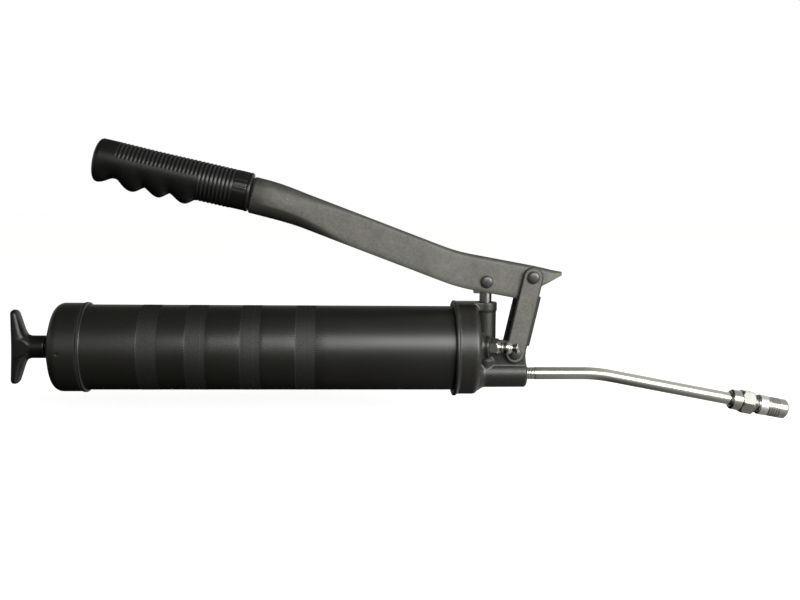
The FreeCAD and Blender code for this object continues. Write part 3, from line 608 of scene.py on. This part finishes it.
# the seam values place a painted shade line round the skirt: its place, width and darkness
head.update({"seam": headLow[0] + 10.5, "seamWide": 0.45, "seamShade": 0.55})
head["boss"] = {"radius": 7.6, "face": 7.2, "root": np.array([141.5, -16.0, 3.0])}
bores = {"plunger": 4.26, "packing": 6.02, "packingSeat": 24.7, "pipe": 4.27, "pipeSeat": 163.0}


# cup: turned about the barrel's axis; pump tube, outlet and filler boss: turned pieces that flare
# where they meet the casting; bridge and lug: slabs; all fused to one skin, then bored
def makeHead():
    rear, radius = headLow[0], -headLow[2]
    bead, cap, face = head["bead"], head["cap"], head["face"]
    cupLine = rounded([
        (rear, tube["radius"] + 0.05), (rear, radius), (rear + bead, radius),
        (rear + bead + 0.5, cap), (face, cap), (face, 0), (head["seat"], 0),
        (head["seat"], tube["radius"] + 0.05),
    ], [0.2, 0.7, 0.7, 0.5, head["corner"], 0, 0, 0.2], 8, closed=True)
    cupLine = np.roll(cupLine, -1, 0)
    cup = lathe(filled(np.vstack([cupLine, cupLine[:1]]), 1.5), 200)

    collar, pump = head["collar"], head["tube"]
    tubeLine = rounded([
        (outletUp, 0), (outletUp, pump + 1.0), (outletUp + 9.6, pump + 1.6),
        (outletUp + 14, pump), (collarTop - 6.4, pump), (collarTop - 5.8, collar),
        (collarTop, collar), (collarTop, 0),
    ], [0, 0, 1, 6, 0.4, 0.3, 0.6, 0])
    upright = axesAlong((0, 0, 1), (1, 0, 0))
    pumpTube = placed(lathe(filled(tubeLine, 1.0), 80), (pumpAt, 0, 0), upright)

    reach = collar - 0.25
    bridge = slab([
        (rear + 0.3, tube["radius"] + 1.2), (rear + 0.3, collarTop), (pumpAt, collarTop),
        (pumpAt, collarTop - 6), (face - 3, collarTop - 6),
        (face - 6, tube["radius"] + 1.2),
    ], -reach, reach, 0.5, (rear + 12, tube["radius"] + 2.2))

    root, up, lug, low = face - 1.8, lowerPivot[2], head["lug"], head["lugTop"]
    turn = np.linspace(math.radians(82), math.radians(-14), 16)
    eye = np.stack([lowerPivot[0] + lug * np.cos(turn), up + lug * np.sin(turn)], -1)
    ears = np.vstack([[(root, outletUp - 4), (root, low), (lowerPivot[0] - 6.4, low)], eye, [
        (headHigh[0] - 0.4, outletUp + 5.5),
        (headHigh[0] - 0.4, outletUp - 4),
    ]])
    ears = rounded(ears, [0, 1.5, 4] + [0] * (len(eye) + 2), 4)
    lugPlate = slab(filled(ears, 1.5, closed=True), -head["lugWide"], head["lugWide"], 0.9)

    out = head["outlet"]
    outlet = lathe(filled(rounded([
        (root, 0), (root, out + 3.2), (face + 0.6, out + 2.6), (face + 4.5, out + 0.1),
        (headHigh[0] - 1, out),
        (headHigh[0], out - 1.1),
        (headHigh[0], 0),
    ], [0, 0, 1, 4, 0.6, 0.4, 0], 5), 1.0), 96)
    outlet = placed(outlet, (0, 0, outletUp), np.eye(3))

    boss = head["boss"]
    bossLine = rounded([
        (-3, 0), (-3, boss["radius"] + 3), (1.2, boss["radius"] + 2.4),
        (3.6, boss["radius"]), (boss["face"], boss["radius"] - 0.2), (boss["face"], 0),
    ], [0, 0, 1, 2.5, 0.7, 0], 5)
    filler = placed(lathe(filled(bossLine, 0.9), 80), boss["root"], axesAlong(nippleAlong))

    shells = [cup, pumpTube, bridge, lugPlate, outlet, filler]
    skin = fuse(makeMesh("pumpCasting", shells), voxel=0.46, passes=5)
    plungerBore = lathe([
        (outletUp, 0), (outletUp, bores["plunger"]),
        (bores["packingSeat"], bores["plunger"]), (bores["packingSeat"], bores["packing"]),
        (collarTop + 2, bores["packing"]), (collarTop + 2, 0),
    ], 64)
    pipeBore = lathe([
        (bores["pipeSeat"], 0), (bores["pipeSeat"], bores["pipe"]),
        (headHigh[0] + 2, bores["pipe"]),
        (headHigh[0] + 2, 0),
    ], 64)
    cutters = [placed(plungerBore, (pumpAt, 0, 0), upright)]
    cutters.append(placed(pipeBore, (0, 0, outletUp), np.eye(3)))
    casting = drill(skin, makeMesh("boreTool", cutters))

    # a thin painted dark line round the skirt: painted shade for a seam groove that the fused skin is too coarse
    # to keep
    spots = cornersOf(casting)
    line = np.exp(-(((spots[:, 0] - head["seam"]) / head["seamWide"]) ** 2))
    addValues(casting, "rim", head["seamShade"] * line * (np.hypot(spots[:, 1], spots[:, 2]) < cap + 0.5))
    return casting


addPiece(makeHead(), "head_paint", "pump", "pump_head")
print("pump head made")

nipple = {"flats": 10.5, "hex": 5.5, "neck": 3.3, "head": 4.65, "hole": 1.3, "bore": 2.2}
nipple.update({"seat": 14.5, "boreEnd": 4.0})


# hexagon flats as the lesser of the turned radius and flats / (2 cos t), t from the nearest flat
def hexCut(flats, low, high):
    def cut(along, around, radius):
        turn = np.mod(around, np.pi / 3) - np.pi / 6
        limit = flats / 2 / np.cos(turn)
        inside = (along > low) & (along < high)
        return np.where(inside, np.minimum(radius, limit) - radius, 0)

    return cut


# a turned fitting on the filler boss: hexagon, waist, round head and grooved tip, bored for its ball
def makeNipple():
    face, corner = head["boss"]["face"], nipple["flats"] / math.sqrt(3)
    hexed, neck, crown = nipple["hex"], nipple["neck"], nipple["head"]
    line = rounded([
        (-4.5, 0), (-4.5, neck), (0.05, neck), (0.05, corner - 0.5), (0.6, corner + 0.05),
        (hexed - 0.6, corner + 0.05), (hexed, corner - 0.7), (hexed + 0.3, neck + 0.6),
        (hexed + 2.2, neck), (hexed + 3.9, crown - 0.2), (hexed + 5.6, crown),
        (hexed + 7.6, crown - 0.6), (hexed + 9.2, 2.6), (hexed + 11.2, 2.6),
        (hexed + 11.6, 3.6), (hexed + 12.7, 3.6), (hexed + 13.1, 2.6),
        (hexed + 13.1, nipple["hole"]), (nipple["seat"], nipple["hole"]),
        (nipple["seat"], nipple["bore"]), (nipple["boreEnd"], nipple["bore"]),
        (nipple["boreEnd"], 0),
    ], [0, 0, 0, 0, 0, 0, 0.2, 0.3, 1.2, 1.2, 3, 1.6, 1.2, 0.5, 0.3, 0.3, 0.3, 0.1, 0, 0, 0.3, 0], 5)
    grid = lathe(filled(line, 0.35), 120, hexCut(nipple["flats"], 0, hexed + 0.01))
    origin = head["boss"]["root"] + nippleAlong * face
    return makeMesh("fillerNipple", [placed(grid, origin, axesAlong(nippleAlong))], sharp=28)


addPiece(makeNipple(), "nickel_steel", "pump", "filler_nipple")

link = {"eye": 6.9, "inside": 7.45, "sheet": 2.5, "reach": 8.4, "webTop": 11.6, "webFoot": 45.9, "edge": 0.5}
# where and how strongly the painted shade darkens towards the plates' outlines
link.update({"rimLow": 0.6, "rimHigh": 1.5, "rimShade": 0.96})
linkDown = (lowerPivot - upperPivot) / np.linalg.norm(lowerPivot - upperPivot)
linkLength = np.linalg.norm(lowerPivot - upperPivot)


# plates: stadium outlines; web: a slab with rounded bends in front; fused, then placed so that
# local -z runs from the upper pivot to the lower one
def makeLink():
    turn = np.linspace(0, np.pi, 25)
    top = np.stack([link["eye"] * np.cos(turn), link["eye"] * np.sin(turn)], -1)
    stadium = filled(np.vstack([top, -top - [0, linkLength]]), 2.0, closed=True)
    inside, outside = link["inside"], link["inside"] + link["sheet"]
    plates = [slab(stadium, a, b, link["edge"]) for a, b in ((-outside, -inside), (inside, outside))]
    front, back = link["reach"], link["reach"] - link["sheet"]
    bend = rounded([(back - 0.6, -outside), (front, -outside), (front, outside), (back - 0.6, outside)],
                   [0, 2.4, 2.4, 0], 7)
    inner = rounded([(back - 0.6, inside), (back, inside), (back, -inside), (back - 0.6, -inside)],
                    [0, 0.3, 0.3, 0], 3)
    rim = np.vstack([bend, inner])
    rows = [-link["webFoot"], -link["webFoot"] + 0.4, -link["webTop"] - 0.4, -link["webTop"]]
    web = np.stack([np.column_stack([rim, np.full(len(rim), up)]) for up in rows])
    grids = plates + [stripEnds(web)]
    axes = np.array([[-linkDown[2], 0, linkDown[0]], [0, 1, 0], [-linkDown[0], 0, -linkDown[2]]])
    shells = [placed(g, upperPivot, axes) for g in grids]
    mesh = fuse(makeMesh("linkStrap", shells), voxel=0.36, passes=4)
    spots = (cornersOf(mesh) - upperPivot) @ axes.T

    # painted shade: darker towards the outline of the plates, by a point's distance in from it, and all that faces
    # inwards in shade
    gap = np.hypot(spots[:, 0], spots[:, 2] - np.clip(spots[:, 2], -linkLength, 0))
    outline = 1 - ease(link["eye"] - gap, link["rimLow"], link["rimHigh"])
    inwards = np.abs(spots[:, 1]) < link["inside"] + 0.5 * link["sheet"]
    addValues(mesh, "rim", link["rimShade"] * np.where(inwards, 1.0, outline))
    return mesh


# ends of a hollow ring: every point of the first and last rows moves onto the nearest point of
# the line midway between the two walls, which closes the end without a hole
def stripEnds(grid):
    count = grid.shape[1]
    mate = np.arange(count)[::-1]
    ends = [(grid[k] + grid[k][mate]) / 2 for k in (0, -1)]
    return np.concatenate([ends[0][None], grid, ends[1][None]])


addPiece(makeLink(), "lever_paint", "link", "link")
rivet = {"shank": 3.0, "head": 4.3, "tall": 2.0, "brim": 0.55}


# a shank with a shallow dome at both ends, struck a little flat on top
def makeRivet(name, node):
    low, high = span(node)
    middle = (low + high) / 2
    end = (high - low)[1] / 2
    seat = end - rivet["tall"]
    swing = np.linspace(0, np.pi / 2, 12)
    dome = np.stack([seat + rivet["brim"] + (rivet["tall"] - rivet["brim"]) * np.sin(swing) ** 0.9,
                     rivet["head"] * np.cos(swing) ** 0.8], -1)
    side = np.vstack([[(seat, rivet["shank"]), (seat, rivet["head"] - 0.15)], dome])
    line = np.vstack([side[::-1] * [-1, 1], side])
    grid = placed(lathe(line, 64), middle, axesAlong((0, 1, 0)))
    return makeMesh(name, [grid], sharp=50)


addPiece(makeRivet("lowerRivet", "lower_pivot_rivet"), "rivet_paint", "link", "lower_pivot_rivet")
addPiece(makeRivet("upperRivet", "upper_pivot_rivet"), "rivet_paint", "link", "upper_pivot_rivet")
addPiece(makeRivet("plungerPin", "plunger_pin"), "rivet_paint", "lever", "plunger_pin")
print("nipple, link and rivets made")

leverLow, leverHigh = span("lever")
gripFace = np.array([-12.4, 0, 104.4])
gripSlope = math.radians(12.34)
lever = {"sheet": 2.0, "wide": 9.6, "slim": 7.25, "tailDeep": 17.0, "tailWide": 7.4, "tailBend": 4.0}
lever.update({"lip": 7.0, "bend": 3.0, "ovalBend": 5.2, "tuck": 0.9 * np.pi / 2, "belly": 0.5, "soft": 9})
lever.update({"slimming": (108, 138), "ovalEnd": (2, 62), "leanEnd": (-4, 26), "tailEnd": (-12.6, -10.9)})
lever.update({"noseFrom": 188, "noseNarrow": 3.4, "thinFrom": 186, "thinning": 0.5, "hardFrom": 150})
# how dark the painted shade is on the arm's edges and at its root
lever.update({"edgeShade": 0.9, "rootShade": 0.8, "rootEnd": (-11, 9)})
lever["top"] = [(-40, 121), (-7, 114.1), (12, 109), (127, 66), (187, 55.2), (leverHigh[0], 51.9)]
lever["foot"] = [(-40, 97), (-7, 90.1), (12, 85), (127, 42), (167.7, leverLow[2]), (leverHigh[0], 50.5)]


# height of a soft polyline: the mean of straight stretches over a short reach to both sides
def softLine(across, corners, reach):
    corners = np.array(corners, float)
    shifts = np.linspace(-reach, reach, 9)
    return np.mean([np.interp(across + s, corners[:, 0], corners[:, 1]) for s in shifts], 0)


# an open channel, carried along the arm: tucked lips, walls, rounded bends and a flat top, with the
# inner skin one sheet's thickness inside the outer one
def makeLever():
    tail = np.array([-97.0, -60, -30, -14.6, -12.6])
    step = np.array([-12.0, -11.4, -10.9])
    arm, front = np.arange(-10, 165, 1.5), np.arange(165, leverHigh[0] - 0.5, 0.8)
    across = np.concatenate([tail, step, arm, front, [leverHigh[0] - 0.3]])
    slim = 1 - ease(across, *lever["tailEnd"])
    axisUp = gripFace[2] - (across - gripFace[0]) * math.tan(gripSlope)
    top = softLine(across, lever["top"], lever["soft"])
    top = top * (1 - slim) + (axisUp + lever["tailDeep"] / 2) * slim
    foot = softLine(across, lever["foot"], lever["soft"])
    hard = np.interp(across, *np.array(lever["foot"]).T)
    foot = np.where(across > lever["hardFrom"], hard, foot)
    foot = foot * (1 - slim) + (axisUp - lever["tailDeep"] / 2) * slim
    wide = lever["wide"] + (lever["slim"] - lever["wide"]) * ease(across, *lever["slimming"])
    nose = np.clip((across - lever["noseFrom"]) / (leverHigh[0] - lever["noseFrom"]), 0, 1)
    wide = wide - lever["noseNarrow"] * nose**1.4
    wide = wide * (1 - slim) + lever["tailWide"] * slim
    oval = 1 - ease(across, *lever["ovalEnd"])
    bend = lever["bend"] + lever["ovalBend"] * oval
    bend = np.minimum(bend, np.minimum(wide - 0.4, (top - foot) * 0.45 + 0.3))
    sheet = lever["sheet"] * (1 - lever["thinning"] * ease(across, lever["thinFrom"], leverHigh[0]))
    bend = np.maximum(bend, sheet + 0.05)
    bend = bend * (1 - slim) + lever["tailBend"] * slim
    tuck = lever["tuck"] * oval * (1 - slim)
    lip = lever["lip"]
    foot = np.minimum(foot, top - bend - 0.05)
    belly = lever["belly"] * oval

    def wall(offset):
        radius, curl = bend - offset, lip - offset
        low = foot + lip * np.sin(tuck)
        a = np.linspace(-1, 0, 7)[:, None] * tuck
        lips = np.stack([wide - lip + curl * np.cos(a), low + curl * np.sin(a)], -1)
        t = np.linspace(0, 1, 8)[1:-1, None]
        rise = low + (top - bend - low) * t
        bulge = belly * np.sin(np.pi * t)
        walls = np.stack([wide - offset + bulge, rise], -1)
        b = np.linspace(0, np.pi / 2, 9)[:, None]
        bends = np.stack([wide - bend + radius * np.cos(b), top - bend + radius * np.sin(b)], -1)
        u = np.linspace(1, 0, 6)[1:, None]
        lids = np.stack([(wide - bend) * u, top - offset + 0 * u], -1)
        half = np.concatenate([lips, walls, bends, lids])
        return np.concatenate([half, half[-2::-1] * [-1, 1]])

    ring = np.concatenate([wall(0.0), wall(sheet)[::-1]])
    y, z = ring[..., 0].T, ring[..., 1].T
    lean = math.tan(gripSlope) * (1 - ease(across, *lever["leanEnd"]))
    x = across[:, None] + (z - axisUp[:, None]) * lean[:, None]

    # painted shade round each section: the lips, then a clear side, then darkening over the bend and top; all of
    # the inside in shade
    edges = np.concatenate([[1] * 6, [0.95, 0.15], [0] * 5, np.linspace(0, 1, 9) ** 0.8, [1] * 5])
    edges = np.concatenate([edges, edges[-2::-1]])
    edges = np.concatenate([edges, 0 * edges + 1])
    # painted shade at the root too, darkest next to the grip's collar
    root = 1 - ease(across, *lever["rootEnd"])
    shade = np.maximum(lever["edgeShade"] * edges, lever["rootShade"] * root[:, None])
    rim = np.vstack([shade[:1], shade, shade[-1:]])
    return makeMesh("leverArm", [stripEnds(np.stack([x, y, z], -1))], {"rim": rim}, sharp=40)


addPiece(makeLever(), "lever_paint", "lever", "lever")

grip = {"long": 106.0, "radius": 13.2, "flare": 13.6, "ribPitch": 2.67, "rib": 0.45, "dome": 5.2}
grip.update({"heel": 2.6, "hollow": 1.8, "flute": 0.22, "flutes": 26, "columns": 192})
grip.update({"ribsFrom": (13.5, 15), "ribsTo": (89, 91), "ribsSide": (1.22, 1.40), "neckTo": (33, 36)})
grip.update({"flutesFrom": (2.4, 3.4), "flutesTo": (11.0, 12.0), "flutesSide": (1.3, 1.9)})
grip.update({"groove": 0.25, "grooveFrom": (2.0, 2.6), "grooveTo": (12.2, 13.0), "flareAlong": (62, 96)})
grip.update({"slim": 0.5, "slimFrom": (36, 50), "heelFrom": (92, 101), "hollowAt": 90, "hollowLong": 4.5})
grip["notches"] = [-88.0, -69.6, -52.6, -35.1]
grip["bumps"] = [(-77.6, 4.4), (-60.0, 4.4), (-42.75, 4.3)]


# radius of a moulded sleeve by place along it and angle from the top: a round bar that swells to
# the rear, ribs over the top and round the neck, flutes on the collar, three finger bumps below
def makeGrip():
    columns = grip["columns"]
    rear = -grip["long"]
    deep = grip["dome"]
    dome = rear + deep * (1 - np.sin(np.linspace(0, np.pi / 2, 16)))
    ribbed = np.arange(-1.4, rear + deep + 0.1, -grip["ribPitch"] / 8)
    along = np.concatenate([[-0.02, -0.3, -1.0], ribbed, dome])
    around = np.arange(columns) * 2 * np.pi / columns
    a, turn = along[:, None], np.minimum(around, 2 * np.pi - around)[None]
    radius = grip["radius"] + (grip["flare"] - grip["radius"]) * ease(-a, *grip["flareAlong"])
    closing = np.sqrt(np.clip(1 - np.clip((rear + deep - a) / deep, 0, 1) ** 2.8, 0, 1))
    closing = closing - 0.06 * np.clip((a + 1.0) / 1.0, 0, 1) ** 2

    ribbing = ease(-a, *grip["ribsFrom"])
    topRibs = ribbing * (1 - ease(-a, *grip["ribsTo"])) * (1 - ease(turn, *grip["ribsSide"]))
    neckRibs = ribbing * (1 - ease(-a, *grip["neckTo"]))
    ribs = np.maximum(topRibs, neckRibs)
    wave = 0.5 + 0.5 * np.cos(2 * np.pi * a / grip["ribPitch"])
    radius = radius + grip["rib"] * ribs * (wave**0.7 - 0.75)
    fluting = ease(-a, *grip["flutesFrom"]) * (1 - ease(-a, *grip["flutesTo"]))
    flutes = fluting * (0.5 + 0.5 * np.cos(turn * grip["flutes"])) ** 2
    flutes = flutes * (1 - ease(turn, *grip["flutesSide"]))
    groove = ease(-a, *grip["grooveFrom"]) - ease(-a, *grip["grooveTo"])
    radius = radius + grip["flute"] * flutes - grip["groove"] * groove

    swell = np.zeros_like(along)
    for low, high, (crest, tall) in zip(grip["notches"][:-1], grip["notches"][1:], grip["bumps"]):
        rise = np.clip((along - low) / (crest - low), 0, 1)
        fall = np.clip((high - along) / (high - crest), 0, 1)
        swell += tall * np.sin(np.pi / 2 * np.minimum(rise, fall)) ** 1.35 * (along > low) * (along < high)
    below = np.clip(-np.cos(turn), 0, 1)
    slim = grip["slim"] * ease(-a, *grip["slimFrom"])
    radius = radius + swell[:, None] * below**2.6 - slim * below**4
    hollow = np.exp(-(((a + grip["hollowAt"]) / grip["hollowLong"]) ** 2))
    heel = grip["heel"] * ease(-a, *grip["heelFrom"]) - grip["hollow"] * hollow
    radius = radius + heel * below**2
    radius = radius * closing
    radius[-1] = 0
    grid = np.stack([np.repeat(a, columns, 1), radius * np.sin(around), radius * np.cos(around)], -1)
    front = grid[:1] * [1, 0.4, 0.4]
    axis = np.array([math.cos(gripSlope), 0, -math.sin(gripSlope)])
    grid = np.concatenate([front * [1, 0, 0], front, grid])
    return makeMesh("leverGrip", [placed(grid, gripFace, axesAlong(axis))], sharp=55)


addPiece(makeGrip(), "grip_rubber", "lever", "lever_grip")
print("lever and grip made")

mouth = next(m for m in frame["record"]["mounts"] if m["name"] == "coupler_mouth")
drop = math.asin(-mouth["axis"][2])
couplerAt = np.array([318.9, 0, -35.25])


# a round bar along two straight runs joined by an arc; its rear end carries a helical thread
def makePipe():
    start = bores["pipeSeat"] + 0.2
    first = pipe["bendAt"] - pipe["bend"] * math.tan(drop / 2)
    runOut = np.array([math.cos(drop), -math.sin(drop)])
    thread = np.arange(headHigh[0] - 1, pipe["threadEnd"] + 0.6, pipe["pitch"] / 8)
    straight = np.concatenate([[start, start + 4], thread, np.arange(thread[-1] + 1, first, 3)])
    line = np.stack([straight, np.full(len(straight), outletUp)], -1)
    turn = np.linspace(0, drop, 16)
    arc = np.stack([first + pipe["bend"] * np.sin(turn), outletUp - pipe["bend"] * (1 - np.cos(turn))], -1)
    end = couplerAt[[0, 2]] + pipe["inCoupler"] * runOut
    rest = arc[-1] + np.linspace(0, 1, 40)[1:, None] * (end - arc[-1])
    line = np.vstack([line, arc, rest])
    slope = np.gradient(line, axis=0)
    slope /= np.linalg.norm(slope, axis=1)[:, None]
    around = np.arange(pipe["columns"]) * 2 * np.pi / pipe["columns"]
    threaded = 1 - ease(line[:, :1], pipe["threadEnd"] - 1, pipe["threadEnd"] + 0.5)
    turns = line[:, :1] / pipe["pitch"] + around / (2 * np.pi)
    radius = pipe["radius"] - threaded * pipe["threadDepth"] * (1 - ridge(turns))
    x = line[:, :1] - slope[:, 1:] * radius * np.cos(around)
    z = line[:, 1:] + slope[:, :1] * radius * np.cos(around)
    grid = closedRows(np.stack([x, radius * np.sin(around), z], -1))
    return makeMesh("extensionPipe", [grid], sharp=60)


addPiece(makePipe(), "zinc_steel", "pump", "extension_pipe")
coupler = {"flats": 15.0, "hexRear": 7.6, "hexFront": 16.2, "band": 20.4, "nose": 26.5, "end": 41.0}
coupler.update({"round": 6.9, "sleeve": 6.75, "hole": 4.2, "neck": 5.2, "threadPitch": 1.1})
coupler.update({"threadDepth": 0.55, "columns": 144})
couplerAxes = axesAlong((math.cos(drop), 0, -math.sin(drop)), (0, 1, 0))


# a turned piece on the coupler's axis; a profile that doesn't start on the axis is closed on itself
def addCoupler(name, line, finish, node, shift=None):
    profile = filled(line, 0.35, closed=line[0][1] > 0)
    if line[0][1] > 0:
        profile = np.vstack([profile, profile[:1]])
    grid = placed(lathe(profile, coupler["columns"], shift), couplerAt, couplerAxes)
    addPiece(makeMesh(name, [grid], sharp=28), finish, "pump", node)


# round collar, hexagon with chamfered corners, threaded neck
def addCouplerBody():
    rear, front, body = coupler["hexRear"], coupler["hexFront"], coupler["round"]
    corner = coupler["flats"] / math.sqrt(3)
    line = rounded([
        (7.9, 0), (7.9, 4.3), (0, 4.3), (0, body - 1.1), (1.2, body), (rear - 0.02, body),
        (rear, corner - 0.9), (rear + 1.0, corner + 0.02), (front - 1.0, corner + 0.02),
        (front, corner - 0.9), (front + 0.05, body - 0.6), (coupler["band"], body - 0.5),
        (coupler["band"], coupler["neck"]), (coupler["nose"], coupler["neck"]),
        (coupler["nose"], 0),
    ], [0, 0, 0.4, 0.3, 0.5, 0, 0.1, 0.2, 0.2, 0.1, 0, 0.2, 0, 0, 0], 4)
    flats = hexCut(coupler["flats"], rear - 0.01, front + 0.01)

    def shape(along, around, radius):
        threaded = (along > front + 0.6) & (along < coupler["band"] - 0.3) & (radius > 5.3)
        groove = coupler["threadDepth"] * (1 - ridge(along / coupler["threadPitch"] + around / (2 * np.pi)))
        return flats(along, around, radius) - groove * threaded

    addCoupler("couplerBody", line, "nickel_steel", "coupler_body", shape)


# plain bright ring between the neck and the nose
def addCouplerBand():
    rear, front, body = coupler["band"], coupler["nose"], coupler["round"]
    line = rounded([(rear + 0.05, 5.25), (rear + 0.05, body), (front - 0.05, body), (front - 0.05, 5.25)],
                   [0, 0.5, 0.5, 0], 5)
    addCoupler("couplerBand", line, "band_steel", "coupler_band")


# grooved nose sleeve with a chamfered mouth
def addCouplerNose():
    start, end, out = coupler["nose"], coupler["end"], coupler["sleeve"]
    line = [(start, 5.3), (start, out - 0.1)]
    for ring in (1.6, 3.1, 4.9, 6.6):
        line += [(start + ring, out), (start + ring + 0.15, out - 0.5), (start + ring + 0.75, out - 0.5)]
        line += [(start + ring + 0.9, out)]
    line += [(end - 1.6, out), (end, out - 1.6), (end, coupler["hole"]), (end - 2.4, 4.4), (end - 5.1, 5.3)]
    addCoupler("couplerNose", rounded(line, 0.12, 2), "nickel_steel", "coupler_nose")


addCouplerBody()
addCouplerBand()
addCouplerNose()
print("pipe and coupler made")

stage = {"floorGap": 0.004, "floorSize": 30.0, "white": (0.93, 0.93, 0.925), "glow": 0.8}
stage["tint"] = (1.0, 0.99, 0.965)
stage["heights"] = [(-0.9, 0.004), (0.95, 0.04), (-0.42, 0.006), (-0.08, 0.13), (0.2, 0.46), (0.6, 0.05)]
stage["sides"] = [(0.1, 0.0), (1.0, 0.35), (0.24, 0.24), (0.42, 0.5)]
shot = {"azimuth": -3.2, "elevation": 3.0, "roll": 0.57, "distance": 0.6945, "lens": 46.0}
shot.update({"shiftUp": -0.0485, "aim": (0.0882, 0.0, 0.059)})


# a brightness for each direction's height or side, from pairs of (-1 to 1, brightness), whose first
# two are the ramp's own stops
def worldRamp(tree, socket, stops):
    scale = tree.nodes.new("ShaderNodeMapRange")
    scale.inputs["From Min"].default_value = -1
    tree.links.new(socket, scale.inputs["Value"])
    ramp = tree.nodes.new("ShaderNodeValToRGB")
    tree.links.new(scale.outputs[0], ramp.inputs[0])
    for k, (spot, level) in enumerate(stops):
        stop = ramp.color_ramp.elements[k] if k < 2 else ramp.color_ramp.elements.new(spot / 2 + 0.5)
        stop.position = spot / 2 + 0.5
        stop.color = (*(level * tint for tint in stage["tint"]), 1)
    return ramp.outputs[0]


# a floor that neither lights nor shows in the object, and a world that lights by height and side
# and is plain white to the camera
def makeStage():
    half = stage["floorSize"] / 2
    flat = bpy.data.meshes.new("floor")
    low = cadLow[2] - stage["floorGap"]
    corners = [(-half, -half, low), (half, -half, low), (half, half, low), (-half, half, low)]
    flat.from_pydata(corners, [], [(0, 1, 2, 3)])
    floor = bpy.data.objects.new("floor", flat)
    bpy.context.scene.collection.objects.link(floor)
    floor.visible_diffuse = False
    floor.visible_glossy = False
    paint = Paint("floor")
    white = (*stage["white"], 1)
    flat.materials.append(paint.finish(Base_Color=white, Roughness=0.9, Specular_IOR_Level=0.1,
                                       Emission_Color=white, Emission_Strength=stage["glow"]))
    world = bpy.data.worlds.new("studio")
    world.use_nodes = True
    tree = world.node_tree
    split = tree.nodes.new("ShaderNodeSeparateXYZ")
    tree.links.new(tree.nodes.new("ShaderNodeTexCoord").outputs["Generated"], split.inputs[0])
    height = worldRamp(tree, split.outputs["Z"], stage["heights"])
    side = worldRamp(tree, split.outputs["X"], stage["sides"])
    both = tree.nodes.new("ShaderNodeMix")
    both.data_type, both.blend_type = "RGBA", "ADD"
    both.inputs[0].default_value = 1.0
    tree.links.new(height, both.inputs[6])
    tree.links.new(side, both.inputs[7])
    seen = tree.nodes.new("ShaderNodeLightPath")
    mix = tree.nodes.new("ShaderNodeMix")
    mix.data_type = "RGBA"
    tree.links.new(seen.outputs["Is Camera Ray"], mix.inputs[0])
    tree.links.new(both.outputs[2], mix.inputs[6])
    mix.inputs[7].default_value = (1, 1, 1, 1)
    tree.links.new(mix.outputs[2], tree.nodes["Background"].inputs["Color"])
    bpy.context.scene.world = world
    bpy.context.scene.view_settings.view_transform = "Standard"


# the camera looks at the aim point from its distance, along the view's azimuth and elevation, and
# is rolled a little about its own axis
def makeCamera():
    turn, rise = math.radians(shot["azimuth"]), math.radians(shot["elevation"])
    back = np.array([math.sin(turn) * math.cos(rise), -math.cos(turn) * math.cos(rise), math.sin(rise)])
    right = np.cross((0, 0, 1), back)
    right /= np.linalg.norm(right)
    upright = np.cross(back, right)
    roll = math.radians(shot["roll"])
    across = right * math.cos(roll) + upright * math.sin(roll)
    axes = np.array([across, np.cross(back, across), back]).T
    lens = bpy.data.cameras.new("camera")
    lens.lens = shot["lens"]
    lens.shift_y = shot["shiftUp"]
    camera = bpy.data.objects.new("camera", lens)
    place = np.array(shot["aim"]) + back * shot["distance"]
    camera.matrix_world = Matrix.Translation(place) @ Matrix(axes).to_4x4()
    bpy.context.scene.collection.objects.link(camera)
    bpy.context.scene.camera = camera


lamps = {
    "frontStrip": {"power": 15.5, "size": (1.4, 0.62), "place": (0.6, -1.2, 0.56)},
    "sideSoft": {"power": 1.9, "size": (0.35, 0.3), "place": (0.62, -0.5, 0.16)},
}
lamps["frontStrip"]["target"] = (0.12, 0, 0.02)
lamps["sideSoft"]["target"] = (0.2, 0, 0.0)


# a soft box at a place, turned to face its target
def addLight(name, power, size, place, target):
    lamp = bpy.data.lights.new(name, "AREA")
    lamp.shape = "RECTANGLE"
    lamp.size, lamp.size_y = size
    lamp.energy = power
    item = bpy.data.objects.new(name, lamp)
    away = np.array(place, float) - np.array(target, float)
    away /= np.linalg.norm(away)
    side = np.cross((0, 0, 1), away)
    side /= np.linalg.norm(side)
    axes = np.array([side, np.cross(away, side), away]).T
    item.matrix_world = Matrix.Translation(place) @ Matrix(axes).to_4x4()
    bpy.context.scene.collection.objects.link(item)


makeStage()
makeCamera()
for name, lamp in lamps.items():
    addLight(name, **lamp)
print("stage, camera and lights made")
